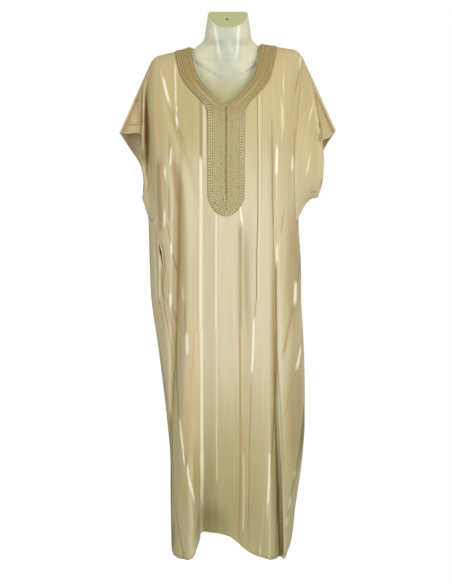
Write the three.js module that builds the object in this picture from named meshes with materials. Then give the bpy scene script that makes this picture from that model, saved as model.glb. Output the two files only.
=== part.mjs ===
// A short-sleeved djellaba hanging on a limbless dress form with a pole and a flat base.
// Millimetres, +Z up, the front of the garment faces -Y. The origin is on the base's
// underside, straight below the neck opening.
// The cloth is a set of thin walls: front, back, two sleeves, and the embroidered band with
// its braids. Each wall is worked out from horizontal sections of the hanging cloth (the
// outline table) and from a short table for each large fold.
import * as THREE from "three";

// Driving dimensions
const CLOTH_WALL = 1.6;
const SEAM_GAP = 0.6; // between two pieces sewn edge to edge
const SECTION_POWER = 2.5; // how square a horizontal section of the hanging cloth is
const HEM_Z = 45; // the level from which the hem's own line rises and falls
const HEM_FROM = 450; // the hem's line fades in below this height
const UNDERARM_Z = 974;
const CHEST_Z = 1150; // rows are level from here down
const BUST_Z = 1190; // the cloth leans back towards the shoulder from here up
const SHOULDER_Y = 6;
// Under 1: the cloth leaves the shoulder line almost level. The nape pushes the back out.
const SHOULDER_ROUND = { front: 0.5, back: 0.36 };
const NECK_HALF = 88; // from the middle to the neck point of the shoulder seam
const NECK_POINT_Z = 1425;
const SHOULDER_SLOPE = 0.2;
const SHOULDER_TILT = 0.045; // the right shoulder hangs a little higher
const SHOULDER_TURN = { from: 176, curve: 0.032 }; // where the shoulder line rounds down
const SHOULDER_END = { left: -194, right: 200 };
const V_POINT_Z = 1274;
const BACK_NECK_DROP = 16;
const POCKET = { low: 812, high: 900, gape: 7 }; // the pocket slit in each side seam

// A table is a list of rows with named columns.
const rows = (columns, lines) =>
  lines.map((line) => Object.fromEntries(columns.map((name, i) => [name, line[i]])));

// Horizontal sections of the hanging cloth: side extremes, front and back depth.
const OUTLINE = rows(["z", "left", "right", "front", "back"], [
  [25, -151, 163, -128, 128],
  [68, -156, 176, -128, 127],
  [186, -158, 189, -127, 125],
  [303, -159, 204, -126, 123],
  [418, -167, 211, -125, 121],
  [531, -179, 209, -124, 120],
  [643, -192, 205, -124, 120],
  [754, -207, 199, -124, 119],
  [863, -211, 195, -125, 117],
  [974, -212, 190, -126, 109],
  [1100, -214, 203, -127, 104],
  [1190, -214, 206, -128, 103],
]);

// The hem's line above the floor: it hangs higher inside the deep front recess.
const HEM_LINE = {
  front: rows(["x", "z"], [
    [-151, 38],
    [-119, 51],
    [-79, 54],
    [-69, 100],
    [-45, 104],
    [-22, 103],
    [17, 92],
    [47, 74],
    [72, 62],
    [99, 58],
    [127, 50],
    [155, 36],
    [163, 40],
  ]),
  back: rows(["x", "z"], [
    [-151, 38],
    [-92, 60],
    [-40, 54],
    [8, 64],
    [60, 54],
    [98, 61],
    [163, 40],
  ]),
};

// Where front and back meet at each side, as an angle round the section: 0 is the middle of
// the front, 90 the right side, 180 the middle of the back.
const SIDE_SEAM = rows(["z", "left", "right"], [
  [25, -88, 88],
  [300, -74, 88],
  [500, -56, 90],
  [650, -44, 92],
  [770, -41, 90],
  [866, -44, 84],
  [974, -60, 73],
]);

// The armhole's front edge, as a distance from the middle.
const ARMHOLE_FRONT = rows(["z", "left", "right"], [
  [974, -190, 183],
  [1030, -178, 179],
  [1115, -177, 176],
  [1205, -183, 180],
  [1310, -190, 190],
  [1390, -194, 200],
]);

// The armhole's back edge, as an angle up to the chest, and from there up a straight line.
const ARMHOLE_BACK = rows(["z", "left", "right"], [
  [974, -60, 73],
  [1000, -84, 90],
  [1040, -103, 105],
  [1100, -116, 117],
  [1150, -122, 122],
]);

// Large folds. Each row gives, at one height, where the fold's flat bottom starts (x), how
// wide that bottom and its two flanks are, and how deep the fold goes into the cloth. A
// negative depth is a ridge that stands out.
const fold = (lines) => rows(["z", "x", "flat", "left", "right", "depth"], lines);
const FRONT_FOLDS = {
  hemRecess: fold([
    [25, -68, 58, 14, 150, 93],
    [120, -68, 60, 20, 146, 74],
    [260, -64, 70, 34, 120, 34],
    [380, -56, 60, 44, 100, 12],
    [500, -50, 50, 50, 90, 0],
  ]),
  hemFlap: fold([
    [25, -128, 30, 30, 30, -38],
    [200, -126, 28, 34, 34, -22],
    [460, -120, 20, 34, 34, 0],
  ]),
  leftValley: fold([
    [330, -150, 0, 12, 26, 0],
    [490, -140, 0, 15, 30, 26],
    [754, -127, 0, 20, 32, 34],
    [940, -123, 0, 20, 28, 28],
    [1050, -122, 0, 18, 22, 16],
    [1150, -140, 0, 16, 18, 0],
  ]),
  rightValley: fold([
    [25, 150, 0, 26, 14, 40],
    [245, 139, 0, 20, 14, 38],
    [500, 129, 0, 16, 14, 26],
    [885, 123, 0, 14, 14, 11],
    [1155, 116, 0, 12, 12, 5],
    [1300, 112, 0, 12, 12, 0],
  ]),
  rightPleat: fold([
    [25, 124, 0, 5, 14, 9],
    [300, 124, 0, 5, 9, 7],
    [480, 123, 0, 5, 5, 0],
  ]),
  plastronCrease: fold([
    [600, 60, 0, 22, 16, 0],
    [800, 52, 0, 18, 14, 7],
    [940, 48, 0, 14, 12, 4],
    [985, 46, 0, 12, 12, 0],
  ]),
  shoulderDrape: fold([
    [900, -72, 0, 24, 24, 0],
    [1060, -84, 0, 20, 20, 6],
    [1250, -142, 0, 16, 16, 6],
    [1340, -164, 0, 14, 14, 0],
  ]),
};
const BACK_FOLDS = {
  middle: fold([
    [25, 8, 0, 46, 40, 46],
    [400, 4, 0, 40, 38, 26],
    [700, 2, 0, 34, 34, 6],
    [840, 0, 0, 30, 30, 0],
  ]),
  left: fold([
    [25, -92, 0, 30, 34, 36],
    [420, -100, 0, 28, 30, 24],
    [700, -108, 0, 24, 26, 9],
    [860, -112, 0, 20, 24, 0],
  ]),
  right: fold([
    [25, 98, 0, 32, 30, 38],
    [420, 108, 0, 30, 28, 26],
    [700, 116, 0, 26, 24, 8],
    [860, 120, 0, 24, 20, 0],
  ]),
};
// Folds of the two sides, along y, pushed in towards the middle.
const SIDE_FOLDS = {
  left: fold([
    [25, 28, 0, 30, 30, 20],
    [500, 24, 0, 28, 28, 16],
    [900, 20, 0, 22, 22, 8],
    [1040, 20, 0, 22, 22, 0],
  ]),
  right: fold([
    [25, 12, 0, 34, 30, 24],
    [500, 18, 0, 30, 28, 18],
    [900, 22, 0, 22, 22, 8],
    [1040, 22, 0, 22, 22, 0],
  ]),
};

// Sleeve mouths. "at" goes once round: 0 is the tip of the top fold, 0.25 the front, 0.5 the
// bottom corner and 0.75 the back. "pleat" is how far the sleeve swings towards the back,
// half-way between its armhole seam and its mouth.
const mouth = (lines) => rows(["at", "x", "y", "z", "pleat"], lines);
const SLEEVE_MOUTH = {
  left: mouth([
    [0, -281, 12, 1200, 0],
    [0.09, -262, -14, 1199, 8],
    [0.18, -222, -38, 1198, 20],
    [0.29, -219, -52, 1140, 26],
    [0.4, -212, -46, 1070, 22],
    [0.5, -221, -24, 1034, 4],
    [0.62, -221, 20, 1050, -12],
    [0.76, -229, 50, 1110, -24],
    [0.9, -259, 38, 1162, -12],
    [1, -281, 12, 1200, 0],
  ]),
  right: mouth([
    [0, 290, 12, 1206, 0],
    [0.09, 274, -14, 1191, 2],
    [0.18, 252, -40, 1178, -2],
    [0.29, 254, -56, 1130, -6],
    [0.4, 251, -50, 1075, -4],
    [0.5, 240, -28, 1034, 0],
    [0.62, 236, 18, 1046, -12],
    [0.76, 244, 48, 1102, -24],
    [0.9, 264, 38, 1160, -12],
    [1, 290, 12, 1206, 0],
  ]),
};

// Embroidered band, plastron and braids: walls that lie on the front and back.
const BAND_WALL = 1;
const BRAID_WALL = 1.3;
const LAY_GAP = 0.6; // between the cloth and what lies on it
const BAND_INSET = 2; // the band stops this far short of the cloth's own neck edge
const SLIT_HALF = 0.8;
const NECK_BRAID_WIDTH = 10;
const OUTER_BRAID_WIDTH = 13;
const BACK_BAND_WIDTH = 42;
const BAND_SEAM_GAP = 3; // the bands end this far below the shoulder seam
// The two edges of the band on the chest, one half, from the shoulder seam to the foot.
const BAND_EDGES = rows(["at", "inX", "inZ", "outX", "outZ"], [
  [0, 88, 1422, 130, 1413],
  [1, 83, 1394, 124, 1384],
  [2, 74, 1360, 114, 1350],
  [3, 59, 1331, 98, 1322],
  [4, 39, 1309, 78, 1300],
  [5, 19, 1290, 60, 1282],
  [6, 2, 1272, 50, 1266],
  [7, 0, 1250, 46, 1246],
  [8, 0, 1180, 46, 1180],
  [9, 0, 1110, 46, 1110],
  [10, 0, 1052, 46, 1052],
  [11, 0, 1030, 40, 1027],
  [12, 0, 1014, 27, 1007],
  [13, 0, 1000, 9, 996],
]);
// Cells along half the band, closer together where it bends over the shoulder.
const BAND_BEND = 2;
const BAND_CELLS = { shoulder: 10, below: 22 };

// Dress form and stand.
const FORM_X = 5;
const FORM_SECTIONS = rows(["z", "half", "front", "back", "power", "throat"], [
  [690, 148, -84, 96, 2.2, 0],
  [700, 156, -90, 102, 2.2, 0],
  [760, 162, -94, 107, 2.2, 0],
  [830, 164, -96, 110, 2.2, 0],
  [900, 152, -93, 100, 2.2, 0],
  [1000, 124, -86, 84, 2.2, 0],
  [1100, 142, -102, 86, 2.2, 0],
  [1150, 152, -112, 90, 2.2, 0],
  [1190, 160, -115, 92, 2.2, 0],
  [1240, 166, -106, 92, 2.2, 0],
  [1290, 174, -84, 88, 2.2, 0],
  [1330, 178, -62, 78, 2.2, 5],
  [1358, 178, -48, 66, 2.2, 11],
  [1376, 168, -40, 58, 2.2, 16],
  [1388, 150, -36, 52, 2.2, 20],
  [1397, 128, -36, 46, 2.2, 19],
  [1405, 107, -40, 47, 1.9, 15],
  [1414, 93, -42, 49, 1.5, 12],
  [1424, 80, -46, 52, 1.3, 8],
  [1432, 70, -50, 53, 1.6, 3],
  [1440, 63, -53, 54, 2.0, 0],
  [1466, 58, -52, 55, 2.2, 0],
  [1508, 51, -50, 52, 2.2, 0],
]);
const FORM_ROUND = 32;
const THROAT_SPREAD = 46; // the throat stands out of the shoulders this far to each side
// The neck face slants up from the front to a ridge across the middle and is level behind it.
const NECK_FACE = { rise: 0.8, from: 1436 };
const NECK_CAP = { thick: 2.5, inset: 2 };
const FIT_GAP = 0.3;
const POLE = { x: 5, y: 55, radius: 12, edge: 1 };
const PLATE = { radius: 40, height: 6, edge: 1 };
const BASE = { x: 0, y: 25, radius: 130, height: 7, edge: 2 };

const CLOTH = new THREE.MeshStandardMaterial({ color: 0xd2c09a, roughness: 0.75 });
const EMBROIDERY = new THREE.MeshStandardMaterial({ color: 0xb9a877, roughness: 0.6 });
const BRAID = new THREE.MeshStandardMaterial({ color: 0xc8b687, roughness: 0.45 });
const FORM_SHELL = new THREE.MeshStandardMaterial({ color: 0xf1ede2, roughness: 0.25 });
const CAP_PLATE = new THREE.MeshStandardMaterial({ color: 0xb4ae94, roughness: 0.6 });
const WHITE_METAL = new THREE.MeshStandardMaterial({
  color: 0xf2f2f0,
  roughness: 0.4,
  metalness: 0.3,
});

// A value between the rows of a table, on a smooth curve that never overshoots.
function blend(table, key, at, column) {
  const last = table.length - 1;
  if (at <= table[0][key]) return table[0][column];
  if (at >= table[last][key]) return table[last][column];
  let i = 0;
  while (at > table[i + 1][key]) i++;
  const secant = (k) =>
    (table[k + 1][column] - table[k][column]) / (table[k + 1][key] - table[k][key]);
  const tangent = (k) => {
    if (k === 0) return secant(0);
    if (k === last) return secant(last - 1);
    if (secant(k - 1) * secant(k) <= 0) return 0;
    return (secant(k - 1) + secant(k)) / 2;
  };
  const h = table[i + 1][key] - table[i][key];
  const t = (at - table[i][key]) / h;
  const near = (1 + 2 * t) * (1 - t) ** 2;
  const bend = h * t * (1 - t) ** 2 * tangent(i) - h * t ** 2 * (1 - t) * tangent(i + 1);
  return near * table[i][column] + (1 - near) * table[i + 1][column] + bend;
}

const smooth = (t) => {
  const k = Math.min(1, Math.max(0, t));
  return k * k * (3 - 2 * k);
};

// How far a fold pushes the cloth in, at place x and height z.
function foldDepth(table, x, z) {
  if (z > table[table.length - 1].z) return 0;
  if (table[0].depth === 0 && z < table[0].z) return 0;
  const start = blend(table, "z", z, "x");
  const end = start + blend(table, "z", z, "flat");
  const rise = smooth((x - start) / blend(table, "z", z, "left") + 1);
  const fall = smooth(1 - (x - end) / blend(table, "z", z, "right"));
  return blend(table, "z", z, "depth") * rise * fall;
}
const allFolds = (folds, x, z) =>
  Object.values(folds).reduce((sum, table) => sum + foldDepth(table, x, z), 0);

// The horizontal section of the hanging cloth at height z.
function section(z) {
  const level = Math.min(z, BUST_Z);
  const left = blend(OUTLINE, "z", level, "left");
  const right = blend(OUTLINE, "z", level, "right");
  const front = blend(OUTLINE, "z", level, "front");
  const back = blend(OUTLINE, "z", level, "back");
  return { middle: (left + right) / 2, half: (right - left) / 2, front, back };
}
// The point at an angle round the section, folds and all.
function ringPoint(degrees, z) {
  const s = section(z);
  const turn = THREE.MathUtils.degToRad(degrees);
  const sine = Math.sin(turn);
  const cosine = Math.cos(turn);
  const isFront = cosine > 0;
  const x = s.middle + s.half * Math.sign(sine) * Math.abs(sine) ** (2 / SECTION_POWER);
  const y = (isFront ? s.front : s.back) * Math.abs(cosine) ** (2 / SECTION_POWER);
  const push = allFolds(isFront ? FRONT_FOLDS : BACK_FOLDS, x, z) * smooth(Math.abs(cosine) / 0.4);
  const side = sine < 0 ? SIDE_FOLDS.left : SIDE_FOLDS.right;
  const squeeze = foldDepth(side, y, z) * smooth((Math.abs(sine) - 0.6) / 0.4);
  return [x - Math.sign(sine) * squeeze, y + (isFront ? push : -push), z];
}
// The angle at which the front of the section stands at x.
function angleAt(x, z) {
  const s = section(z);
  const q = THREE.MathUtils.clamp((x - s.middle) / s.half, -1, 1);
  const sine = Math.sign(q) * Math.abs(q) ** (SECTION_POWER / 2);
  return THREE.MathUtils.radToDeg(Math.asin(sine));
}

// Points at equal steps along a line; each point's first three numbers are its place.
function resample(points, cells) {
  const length = [0];
  for (let i = 1; i < points.length; i++) {
    const [a, b] = [points[i - 1], points[i]];
    length.push(length[i - 1] + Math.hypot(b[0] - a[0], b[1] - a[1], b[2] - a[2]));
  }
  const made = [];
  let i = 0;
  for (let c = 0; c <= cells; c++) {
    const target = (length[length.length - 1] * c) / cells;
    while (i < points.length - 2 && length[i + 1] < target) i++;
    const t = (target - length[i]) / (length[i + 1] - length[i] || 1);
    made.push(points[i].map((value, k) => value + (points[i + 1][k] - value) * t));
  }
  return made;
}
// A stretch of the section between two angles, cut into equal lengths of cloth.
const STRETCH_STEPS = 360;
function stretch(z, from, to, cells) {
  const line = [];
  for (let i = 0; i <= STRETCH_STEPS; i++) {
    line.push(ringPoint(from + ((to - from) * i) / STRETCH_STEPS, z));
  }
  return resample(line, cells);
}

// Height of the shoulder line, and of its stretch over the neck, at a distance from the middle.
function shoulderZ(x) {
  const out = Math.abs(x) - NECK_HALF;
  const turned = Math.max(0, Math.abs(x) - SHOULDER_TURN.from);
  return NECK_POINT_Z - SHOULDER_SLOPE * out + SHOULDER_TILT * x - SHOULDER_TURN.curve * turned ** 2;
}
// How far the shoulders' tilt lifts the neck edge, fading out down the chest.
const neckTilt = (at, x) => SHOULDER_TILT * x * Math.max(0, 1 - at / 3);
// Depth of the cloth at x and z, above the chest row.
function clothY(x, z, isFront) {
  const front = angleAt(x, Math.min(z, BUST_Z));
  const low = ringPoint(isFront ? front : 180 - front, Math.min(z, BUST_Z))[1];
  if (z <= BUST_Z) return low;
  const top = shoulderZ(x);
  const t = THREE.MathUtils.clamp((top - z) / (top - BUST_Z), 0, 1);
  const lean = Math.sin((Math.PI / 2) * t) ** (isFront ? SHOULDER_ROUND.front : SHOULDER_ROUND.back);
  const folds = isFront ? allFolds(FRONT_FOLDS, x, z) - allFolds(FRONT_FOLDS, x, BUST_Z) : 0;
  return SHOULDER_Y + (low - SHOULDER_Y) * lean + folds * t;
}
const armholeX = (side, z, isFront) => {
  const front = blend(ARMHOLE_FRONT, "z", z, side);
  if (isFront || z < CHEST_Z) return front;
  const low = ringPoint(blend(ARMHOLE_BACK, "z", CHEST_Z, side), CHEST_Z)[0];
  const share = (z - CHEST_Z) / (shoulderZ(SHOULDER_END[side]) - CHEST_Z);
  return low + (SHOULDER_END[side] - low) * Math.min(1, share);
};

// Cells of a panel: across half of it (shoulder and neck), above the chest, down to the
// underarm and down to the hem.
const CELLS = { shoulder: 6, neck: 8, upper: 10, chest: 5, skirt: 20 };
const TOP_ROWS_CLOSER = 1.6; // over 1: the rows lie closer together towards the shoulder
const HALF_CELLS = CELLS.shoulder + CELLS.neck;

// The panel's top edge from the left armhole over the neck to the right armhole.
function topEdge(isFront) {
  const half = (side) => {
    const sign = side === "left" ? -1 : 1;
    const end = SHOULDER_END[side];
    const shoulder = [];
    const SHOULDER_STEPS = 20;
    for (let i = 0; i <= SHOULDER_STEPS; i++) {
      const x = end + ((sign * NECK_HALF - end) * i) / SHOULDER_STEPS;
      shoulder.push([x, 0, shoulderZ(x)]);
    }
    const neckPoint = shoulder[SHOULDER_STEPS];
    let neck;
    if (isFront) {
      const edge = BAND_EDGES.slice(1, 6).map((e) => {
        return [sign * e.inX, 0, e.inZ + neckTilt(e.at, sign * e.inX)];
      });
      neck = [neckPoint, ...edge, [0, 0, V_POINT_Z]];
    } else {
      neck = [];
      for (let i = 0; i <= CELLS.neck; i++) {
        const turn = ((Math.PI / 2) * i) / CELLS.neck;
        const level = neckPoint[2] + (NECK_POINT_Z - neckPoint[2]) * Math.sin(turn);
        neck.push([neckPoint[0] * Math.cos(turn), 0, level - BACK_NECK_DROP * Math.sin(turn)]);
      }
    }
    return [...resample(shoulder, CELLS.shoulder), ...resample(neck, CELLS.neck).slice(1)];
  };
  return [...half("left"), ...half("right").reverse().slice(1)];
}

// A level row of a panel. Both halves start at the garment's middle line, so that it stays
// straight, and end at the given angles.
function levelRow(z, ends, isFront) {
  const front = angleAt(0, z);
  const middle = isFront ? front : 180 - front;
  const leftEnd = isFront ? ends.left : 360 + ends.left;
  const leftHalf = stretch(z, middle, leftEnd, HALF_CELLS).reverse();
  return [...leftHalf, ...stretch(z, middle, ends.right, HALF_CELLS).slice(1)];
}
function sideEnds(z, isFront) {
  const end = (side) => {
    if (z < UNDERARM_Z) return blend(SIDE_SEAM, "z", z, side);
    if (isFront) return angleAt(blend(ARMHOLE_FRONT, "z", z, side), z);
    return blend(ARMHOLE_BACK, "z", z, side);
  };
  return { left: end("left"), right: end("right") };
}

// The whole panel as a grid of points, its top edge first.
function panelGrid(isFront) {
  const grid = [];
  const chestRow = levelRow(CHEST_Z, sideEnds(CHEST_Z, isFront), isFront);
  const top = topEdge(isFront);
  for (let r = 0; r < CELLS.upper; r++) {
    const v = (r / CELLS.upper) ** TOP_ROWS_CLOSER;
    grid.push(
      top.map(([topX, , topZ], c) => {
        const side = c < HALF_CELLS ? "left" : "right";
        const end = c < HALF_CELLS ? 0 : 2 * HALF_CELLS;
        const z = topZ + (CHEST_Z - topZ) * v;
        const straight = top[end][0] + (chestRow[end][0] - top[end][0]) * v;
        const endZ = top[end][2] + (CHEST_Z - top[end][2]) * v;
        const pull = armholeX(side, endZ, isFront) - straight;
        const share = (Math.abs(c - HALF_CELLS) / HALF_CELLS) ** 3;
        const x = topX + (chestRow[c][0] - topX) * v + pull * share;
        const isSeam = r === 0 && Math.abs(x) >= NECK_HALF - 1;
        const y = isSeam ? SHOULDER_Y : clothY(x, z, isFront);
        return [x, isSeam ? y + ((isFront ? -1 : 1) * SEAM_GAP) / 2 : y, z];
      }),
    );
  }
  const heights = [];
  for (let r = 0; r < CELLS.chest; r++) {
    heights.push(CHEST_Z + ((UNDERARM_Z - CHEST_Z) * r) / CELLS.chest);
  }
  for (let r = 0; r <= CELLS.skirt; r++) {
    heights.push(UNDERARM_Z + ((HEM_Z - UNDERARM_Z) * r) / CELLS.skirt);
  }
  for (const z of heights) {
    grid.push(levelRow(z, sideEnds(z, isFront), isFront).map((point) => hang(point, isFront)));
  }
  return trimSides(grid);
}
// Lets a level row down or up to the hem's line, more so the nearer it is to the hem.
function hang([x, y, z], isFront) {
  const fade = Math.max(0, (HEM_FROM - z) / (HEM_FROM - HEM_Z)) ** 1.5;
  const line = isFront ? HEM_LINE.front : HEM_LINE.back;
  return [x, y, z + (blend(line, "x", x, "z") - HEM_Z) * fade];
}
// Takes a little off both ends of each row, for the gap at a seam and the pocket slits.
function trimSides(grid) {
  const pull = (end, next) => {
    const step = new THREE.Vector3(...next).sub(new THREE.Vector3(...end));
    const along = (end[2] - POCKET.low) / (POCKET.high - POCKET.low);
    const open = along > 0 && along < 1 ? POCKET.gape * Math.sin(Math.PI * along) ** 2 : 0;
    step.setLength((SEAM_GAP + open) / 2);
    return [end[0] + step.x, end[1] + step.y, end[2] + step.z];
  };
  return grid.map((row) => {
    const last = row.length - 1;
    return [pull(row[0], row[1]), ...row.slice(1, last), pull(row[last], row[last - 1])];
  });
}

// The outward normal at each point of a grid. "out" is 1 or -1, and "round" joins the last
// column to the first.
function gridNormals(grid, out, round = false) {
  const [R, C] = [grid.length, grid[0].length];
  const at = (r, c) => {
    const row = Math.min(R - 1, Math.max(0, r));
    const column = round ? (c + C) % C : Math.min(C - 1, Math.max(0, c));
    return new THREE.Vector3(...grid[row][column]);
  };
  return grid.map((row, r) =>
    row.map((_, c) => {
      const down = at(r + 1, c).sub(at(r - 1, c));
      const across = at(r, c + 1).sub(at(r, c - 1));
      return down.cross(across).normalize().multiplyScalar(out);
    }),
  );
}
// A closed wall over a grid of points. Its middle lies "lift" out from the points.
function wall(grid, normals, thick, lift = 0, round = false) {
  const [R, C] = [grid.length, grid[0].length];
  const layer = (offset) =>
    grid.flatMap((row, r) =>
      row.map((p, c) => new THREE.Vector3(...p).addScaledVector(normals[r][c], offset)),
    );
  const points = [...layer(lift + thick / 2), ...layer(lift - thick / 2)];
  const n = R * C;
  const faces = [];
  const quad = (a, b, c, d) => faces.push(a, b, c, a, c, d);
  const cells = round ? C : C - 1;
  for (let r = 0; r < R - 1; r++) {
    for (let c = 0; c < cells; c++) {
      const d = (c + 1) % C;
      const [p, q, s, t] = [r * C + c, r * C + d, (r + 1) * C + d, (r + 1) * C + c];
      quad(p, q, s, t);
      quad(n + p, n + t, n + s, n + q);
    }
  }
  const foot = (R - 1) * C;
  for (let c = 0; c < cells; c++) {
    const d = (c + 1) % C;
    quad(c, n + c, n + d, d);
    quad(foot + c, foot + d, n + foot + d, n + foot + c);
  }
  for (let r = 0; r < R - 1 && !round; r++) {
    const [p, s] = [r * C, (r + 1) * C];
    const [q, t] = [p + C - 1, s + C - 1];
    quad(p, s, n + s, n + p);
    quad(q, n + q, n + t, t);
  }
  return closedMesh(points, faces);
}
// A geometry from points and triangles, turned right side out.
function closedMesh(points, faces) {
  let volume = 0;
  for (let i = 0; i < faces.length; i += 3) {
    const [a, b, c] = [points[faces[i]], points[faces[i + 1]], points[faces[i + 2]]];
    volume += a.dot(b.clone().cross(c));
  }
  const index = volume > 0 ? faces : faces.toReversed();
  const places = new Float32Array(points.flatMap((p) => [p.x, p.y, p.z]));
  const geometry = new THREE.BufferGeometry();
  geometry.setAttribute("position", new THREE.BufferAttribute(places, 3));
  geometry.setIndex(index);
  geometry.computeVertexNormals();
  return geometry;
}

// Front and back. Along the shoulder seam both share one upright normal, so that their
// edges stand face to face.
function panel(isFront) {
  const grid = panelGrid(isFront);
  const normals = gridNormals(grid, isFront ? 1 : -1);
  grid[0].forEach(([x], c) => {
    if (Math.abs(x) < NECK_HALF - 1) return;
    const slope = shoulderZ(x + 1) - shoulderZ(x - 1);
    normals[0][c] = new THREE.Vector3(-slope / 2, 0, 1).normalize();
  });
  return { grid, normals };
}
// Along the side seams, from the underarm down, the two panels share their normals too.
function matchSides(front, back) {
  for (let r = CELLS.upper + CELLS.chest; r < front.grid.length; r++) {
    for (const c of [0, 2 * HALF_CELLS]) {
      const shared = front.normals[r][c].clone().add(back.normals[r][c]).normalize();
      front.normals[r][c] = shared;
      back.normals[r][c] = shared;
    }
  }
}

// A sleeve: a tube from the armhole edges of front and back to its mouth, hung in one pleat.
const SLEEVE_CELLS = { round: 28, along: 10 };
function sleeve(side, front, back) {
  const sign = side === "left" ? -1 : 1;
  const seamRows = CELLS.upper + CELLS.chest + 1;
  const edge = ({ grid, normals }) => {
    const column = side === "left" ? 0 : 2 * HALF_CELLS;
    const line = [];
    for (let r = 0; r < seamRows; r++) {
      line.push([...grid[r][column], ...normals[r][column].toArray()]);
    }
    return resample(line, SLEEVE_CELLS.round / 2);
  };
  const seam = [...edge(front), ...edge(back).reverse().slice(1, -1)];
  const grid = [];
  for (let r = 0; r <= SLEEVE_CELLS.along; r++) {
    const f = r / SLEEVE_CELLS.along;
    const swing = Math.sin(Math.PI * f) ** 2;
    grid.push(
      seam.map(([x, y, z], c) => {
        const at = c / SLEEVE_CELLS.round;
        const [endX, endY, endZ, pleat] = ["x", "y", "z", "pleat"].map((column) =>
          blend(SLEEVE_MOUTH[side], "at", at, column),
        );
        const startX = x + sign * SEAM_GAP;
        return [startX + (endX - startX) * f, y + (endY - y) * f + swing * pleat, z + (endZ - z) * f];
      }),
    );
  }
  const normals = gridNormals(grid, -sign, true);
  normals[0] = seam.map((p) => new THREE.Vector3(p[3], p[4], p[5]).normalize());
  return wall(grid, normals, CLOTH_WALL, 0, true);
}

// The point of a panel's grid that lies in front of or behind a place (x, z).
function onPanel({ grid }, x, z) {
  let best = null;
  const cross = (a, b, c) => (b[0] - a[0]) * (c[2] - a[2]) - (b[2] - a[2]) * (c[0] - a[0]);
  for (let r = 0; r + 1 < grid.length; r++) {
    for (let c = 0; c + 1 < grid[r].length; c++) {
      const [p, q, s, t] = [grid[r][c], grid[r][c + 1], grid[r + 1][c + 1], grid[r + 1][c]];
      for (const [a, b, d] of [[p, q, s], [p, s, t]]) {
        const whole = cross(a, b, d);
        const point = [x, 0, z];
        const share = [cross(point, b, d), cross(a, point, d), cross(a, b, point)].map(
          (value) => value / whole,
        );
        const outside = -Math.min(...share);
        if (best && outside >= best.outside) continue;
        const y = a[1] * share[0] + b[1] * share[1] + d[1] * share[2];
        best = { outside, point: [x, y, z] };
        if (outside <= 0) return best.point;
      }
    }
  }
  return best.point;
}

// A strip that lies on a panel, from a list of its two edges. The stiff band stands a little
// off the cloth where the shoulder curves most.
const STIFF_LIFT = { height: 1.2, from: 1120, to: 1330 };
function strip(panelPart, lines, across, thick, level, out) {
  const grid = lines.map(([x0, z0, x1, z1]) => {
    const row = [];
    for (let i = 0; i <= across; i++) {
      const t = i / across;
      row.push(onPanel(panelPart, x0 + (x1 - x0) * t, z0 + (z1 - z0) * t));
    }
    return row;
  });
  const normals = gridNormals(grid, out);
  const laid = grid.map((row, r) =>
    row.map(([x, y, z], c) => {
      const rise = smooth((z - STIFF_LIFT.from) / (STIFF_LIFT.to - STIFF_LIFT.from));
      const spare = (STIFF_LIFT.height * rise * level) / LAY_GAP;
      const lift = CLOTH_WALL / 2 + thick / 2 + level + spare;
      return new THREE.Vector3(x, y, z).addScaledVector(normals[r][c], lift).toArray();
    }),
  );
  return wall(laid, normals, thick);
}
// The two edges of one half of the chest band, cut to a share of its width.
function bandLines(sign, from, to, last = BAND_EDGES.length - 1) {
  const lines = [];
  for (let i = 0; i <= BAND_CELLS.shoulder + BAND_CELLS.below; i++) {
    const low = i - BAND_CELLS.shoulder;
    const share = low < 0 ? (i / BAND_CELLS.shoulder) ** 1.5 : low / BAND_CELLS.below;
    const at = low < 0 ? BAND_BEND * share : BAND_BEND + (last - BAND_BEND) * share;
    const [inX, inZ, outX, outZ] = ["inX", "inZ", "outX", "outZ"].map((column) =>
      blend(BAND_EDGES, "at", at, column),
    );
    const width = Math.hypot(outX - inX, outZ - inZ);
    const edge = (distance) => {
      const t = distance / width;
      const x = inX + (outX - inX) * t;
      return [sign * (x + SLIT_HALF), inZ + (outZ - inZ) * t + neckTilt(at, sign * x)];
    };
    lines.push([...edge(from(width)), ...edge(to(width))]);
  }
  return lines;
}

const BRAID_GAP = 0.4; // between the band and a braid on it
const ON_BAND = LAY_GAP + BAND_WALL + BRAID_GAP;
function chestStrip(front, sign, part) {
  const lines = bandLines(sign, part.from, part.to, part.last);
  return strip(front, lines, part.across, part.thick, part.level, sign);
}
const insetTo = (width) => Math.min(BAND_INSET, width / 4);
const CHEST_PARTS = {
  neckband: { from: insetTo, to: (w) => w, across: 4, thick: BAND_WALL, level: LAY_GAP },
  neck_braid: {
    from: () => BAND_INSET + 1,
    to: () => BAND_INSET + 1 + NECK_BRAID_WIDTH,
    last: 10,
    across: 2,
    thick: BRAID_WALL,
    level: ON_BAND,
  },
  outer_braid: {
    from: (w) => Math.max(1, w - 1 - OUTER_BRAID_WIDTH),
    to: (w) => w - 1,
    across: 2,
    thick: BRAID_WALL,
    level: ON_BAND,
  },
};

// The band and braids round the back of the neck, from shoulder seam to shoulder seam.
const BACK_STEPS = 28; // closer together at both shoulder seams
function backStrip(back, from, to, across, thick, level) {
  const lines = [];
  for (let i = 0; i <= BACK_STEPS; i++) {
    const along = i / BACK_STEPS;
    const turn = Math.PI * (along - 0.09 * Math.sin(2 * Math.PI * along));
    const edge = (distance) => {
      const share = distance / BACK_BAND_WIDTH;
      const x = (NECK_HALF + distance) * Math.cos(turn);
      const seam = shoulderZ(x) - BAND_SEAM_GAP - SHOULDER_SLOPE * Math.max(0, NECK_HALF - Math.abs(x));
      const drop = BACK_NECK_DROP + share * BACK_BAND_WIDTH;
      return [x, seam - drop * Math.sin(turn)];
    };
    lines.push([...edge(from), ...edge(to)]);
  }
  return strip(back, lines, across, thick, level, -1);
}

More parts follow.
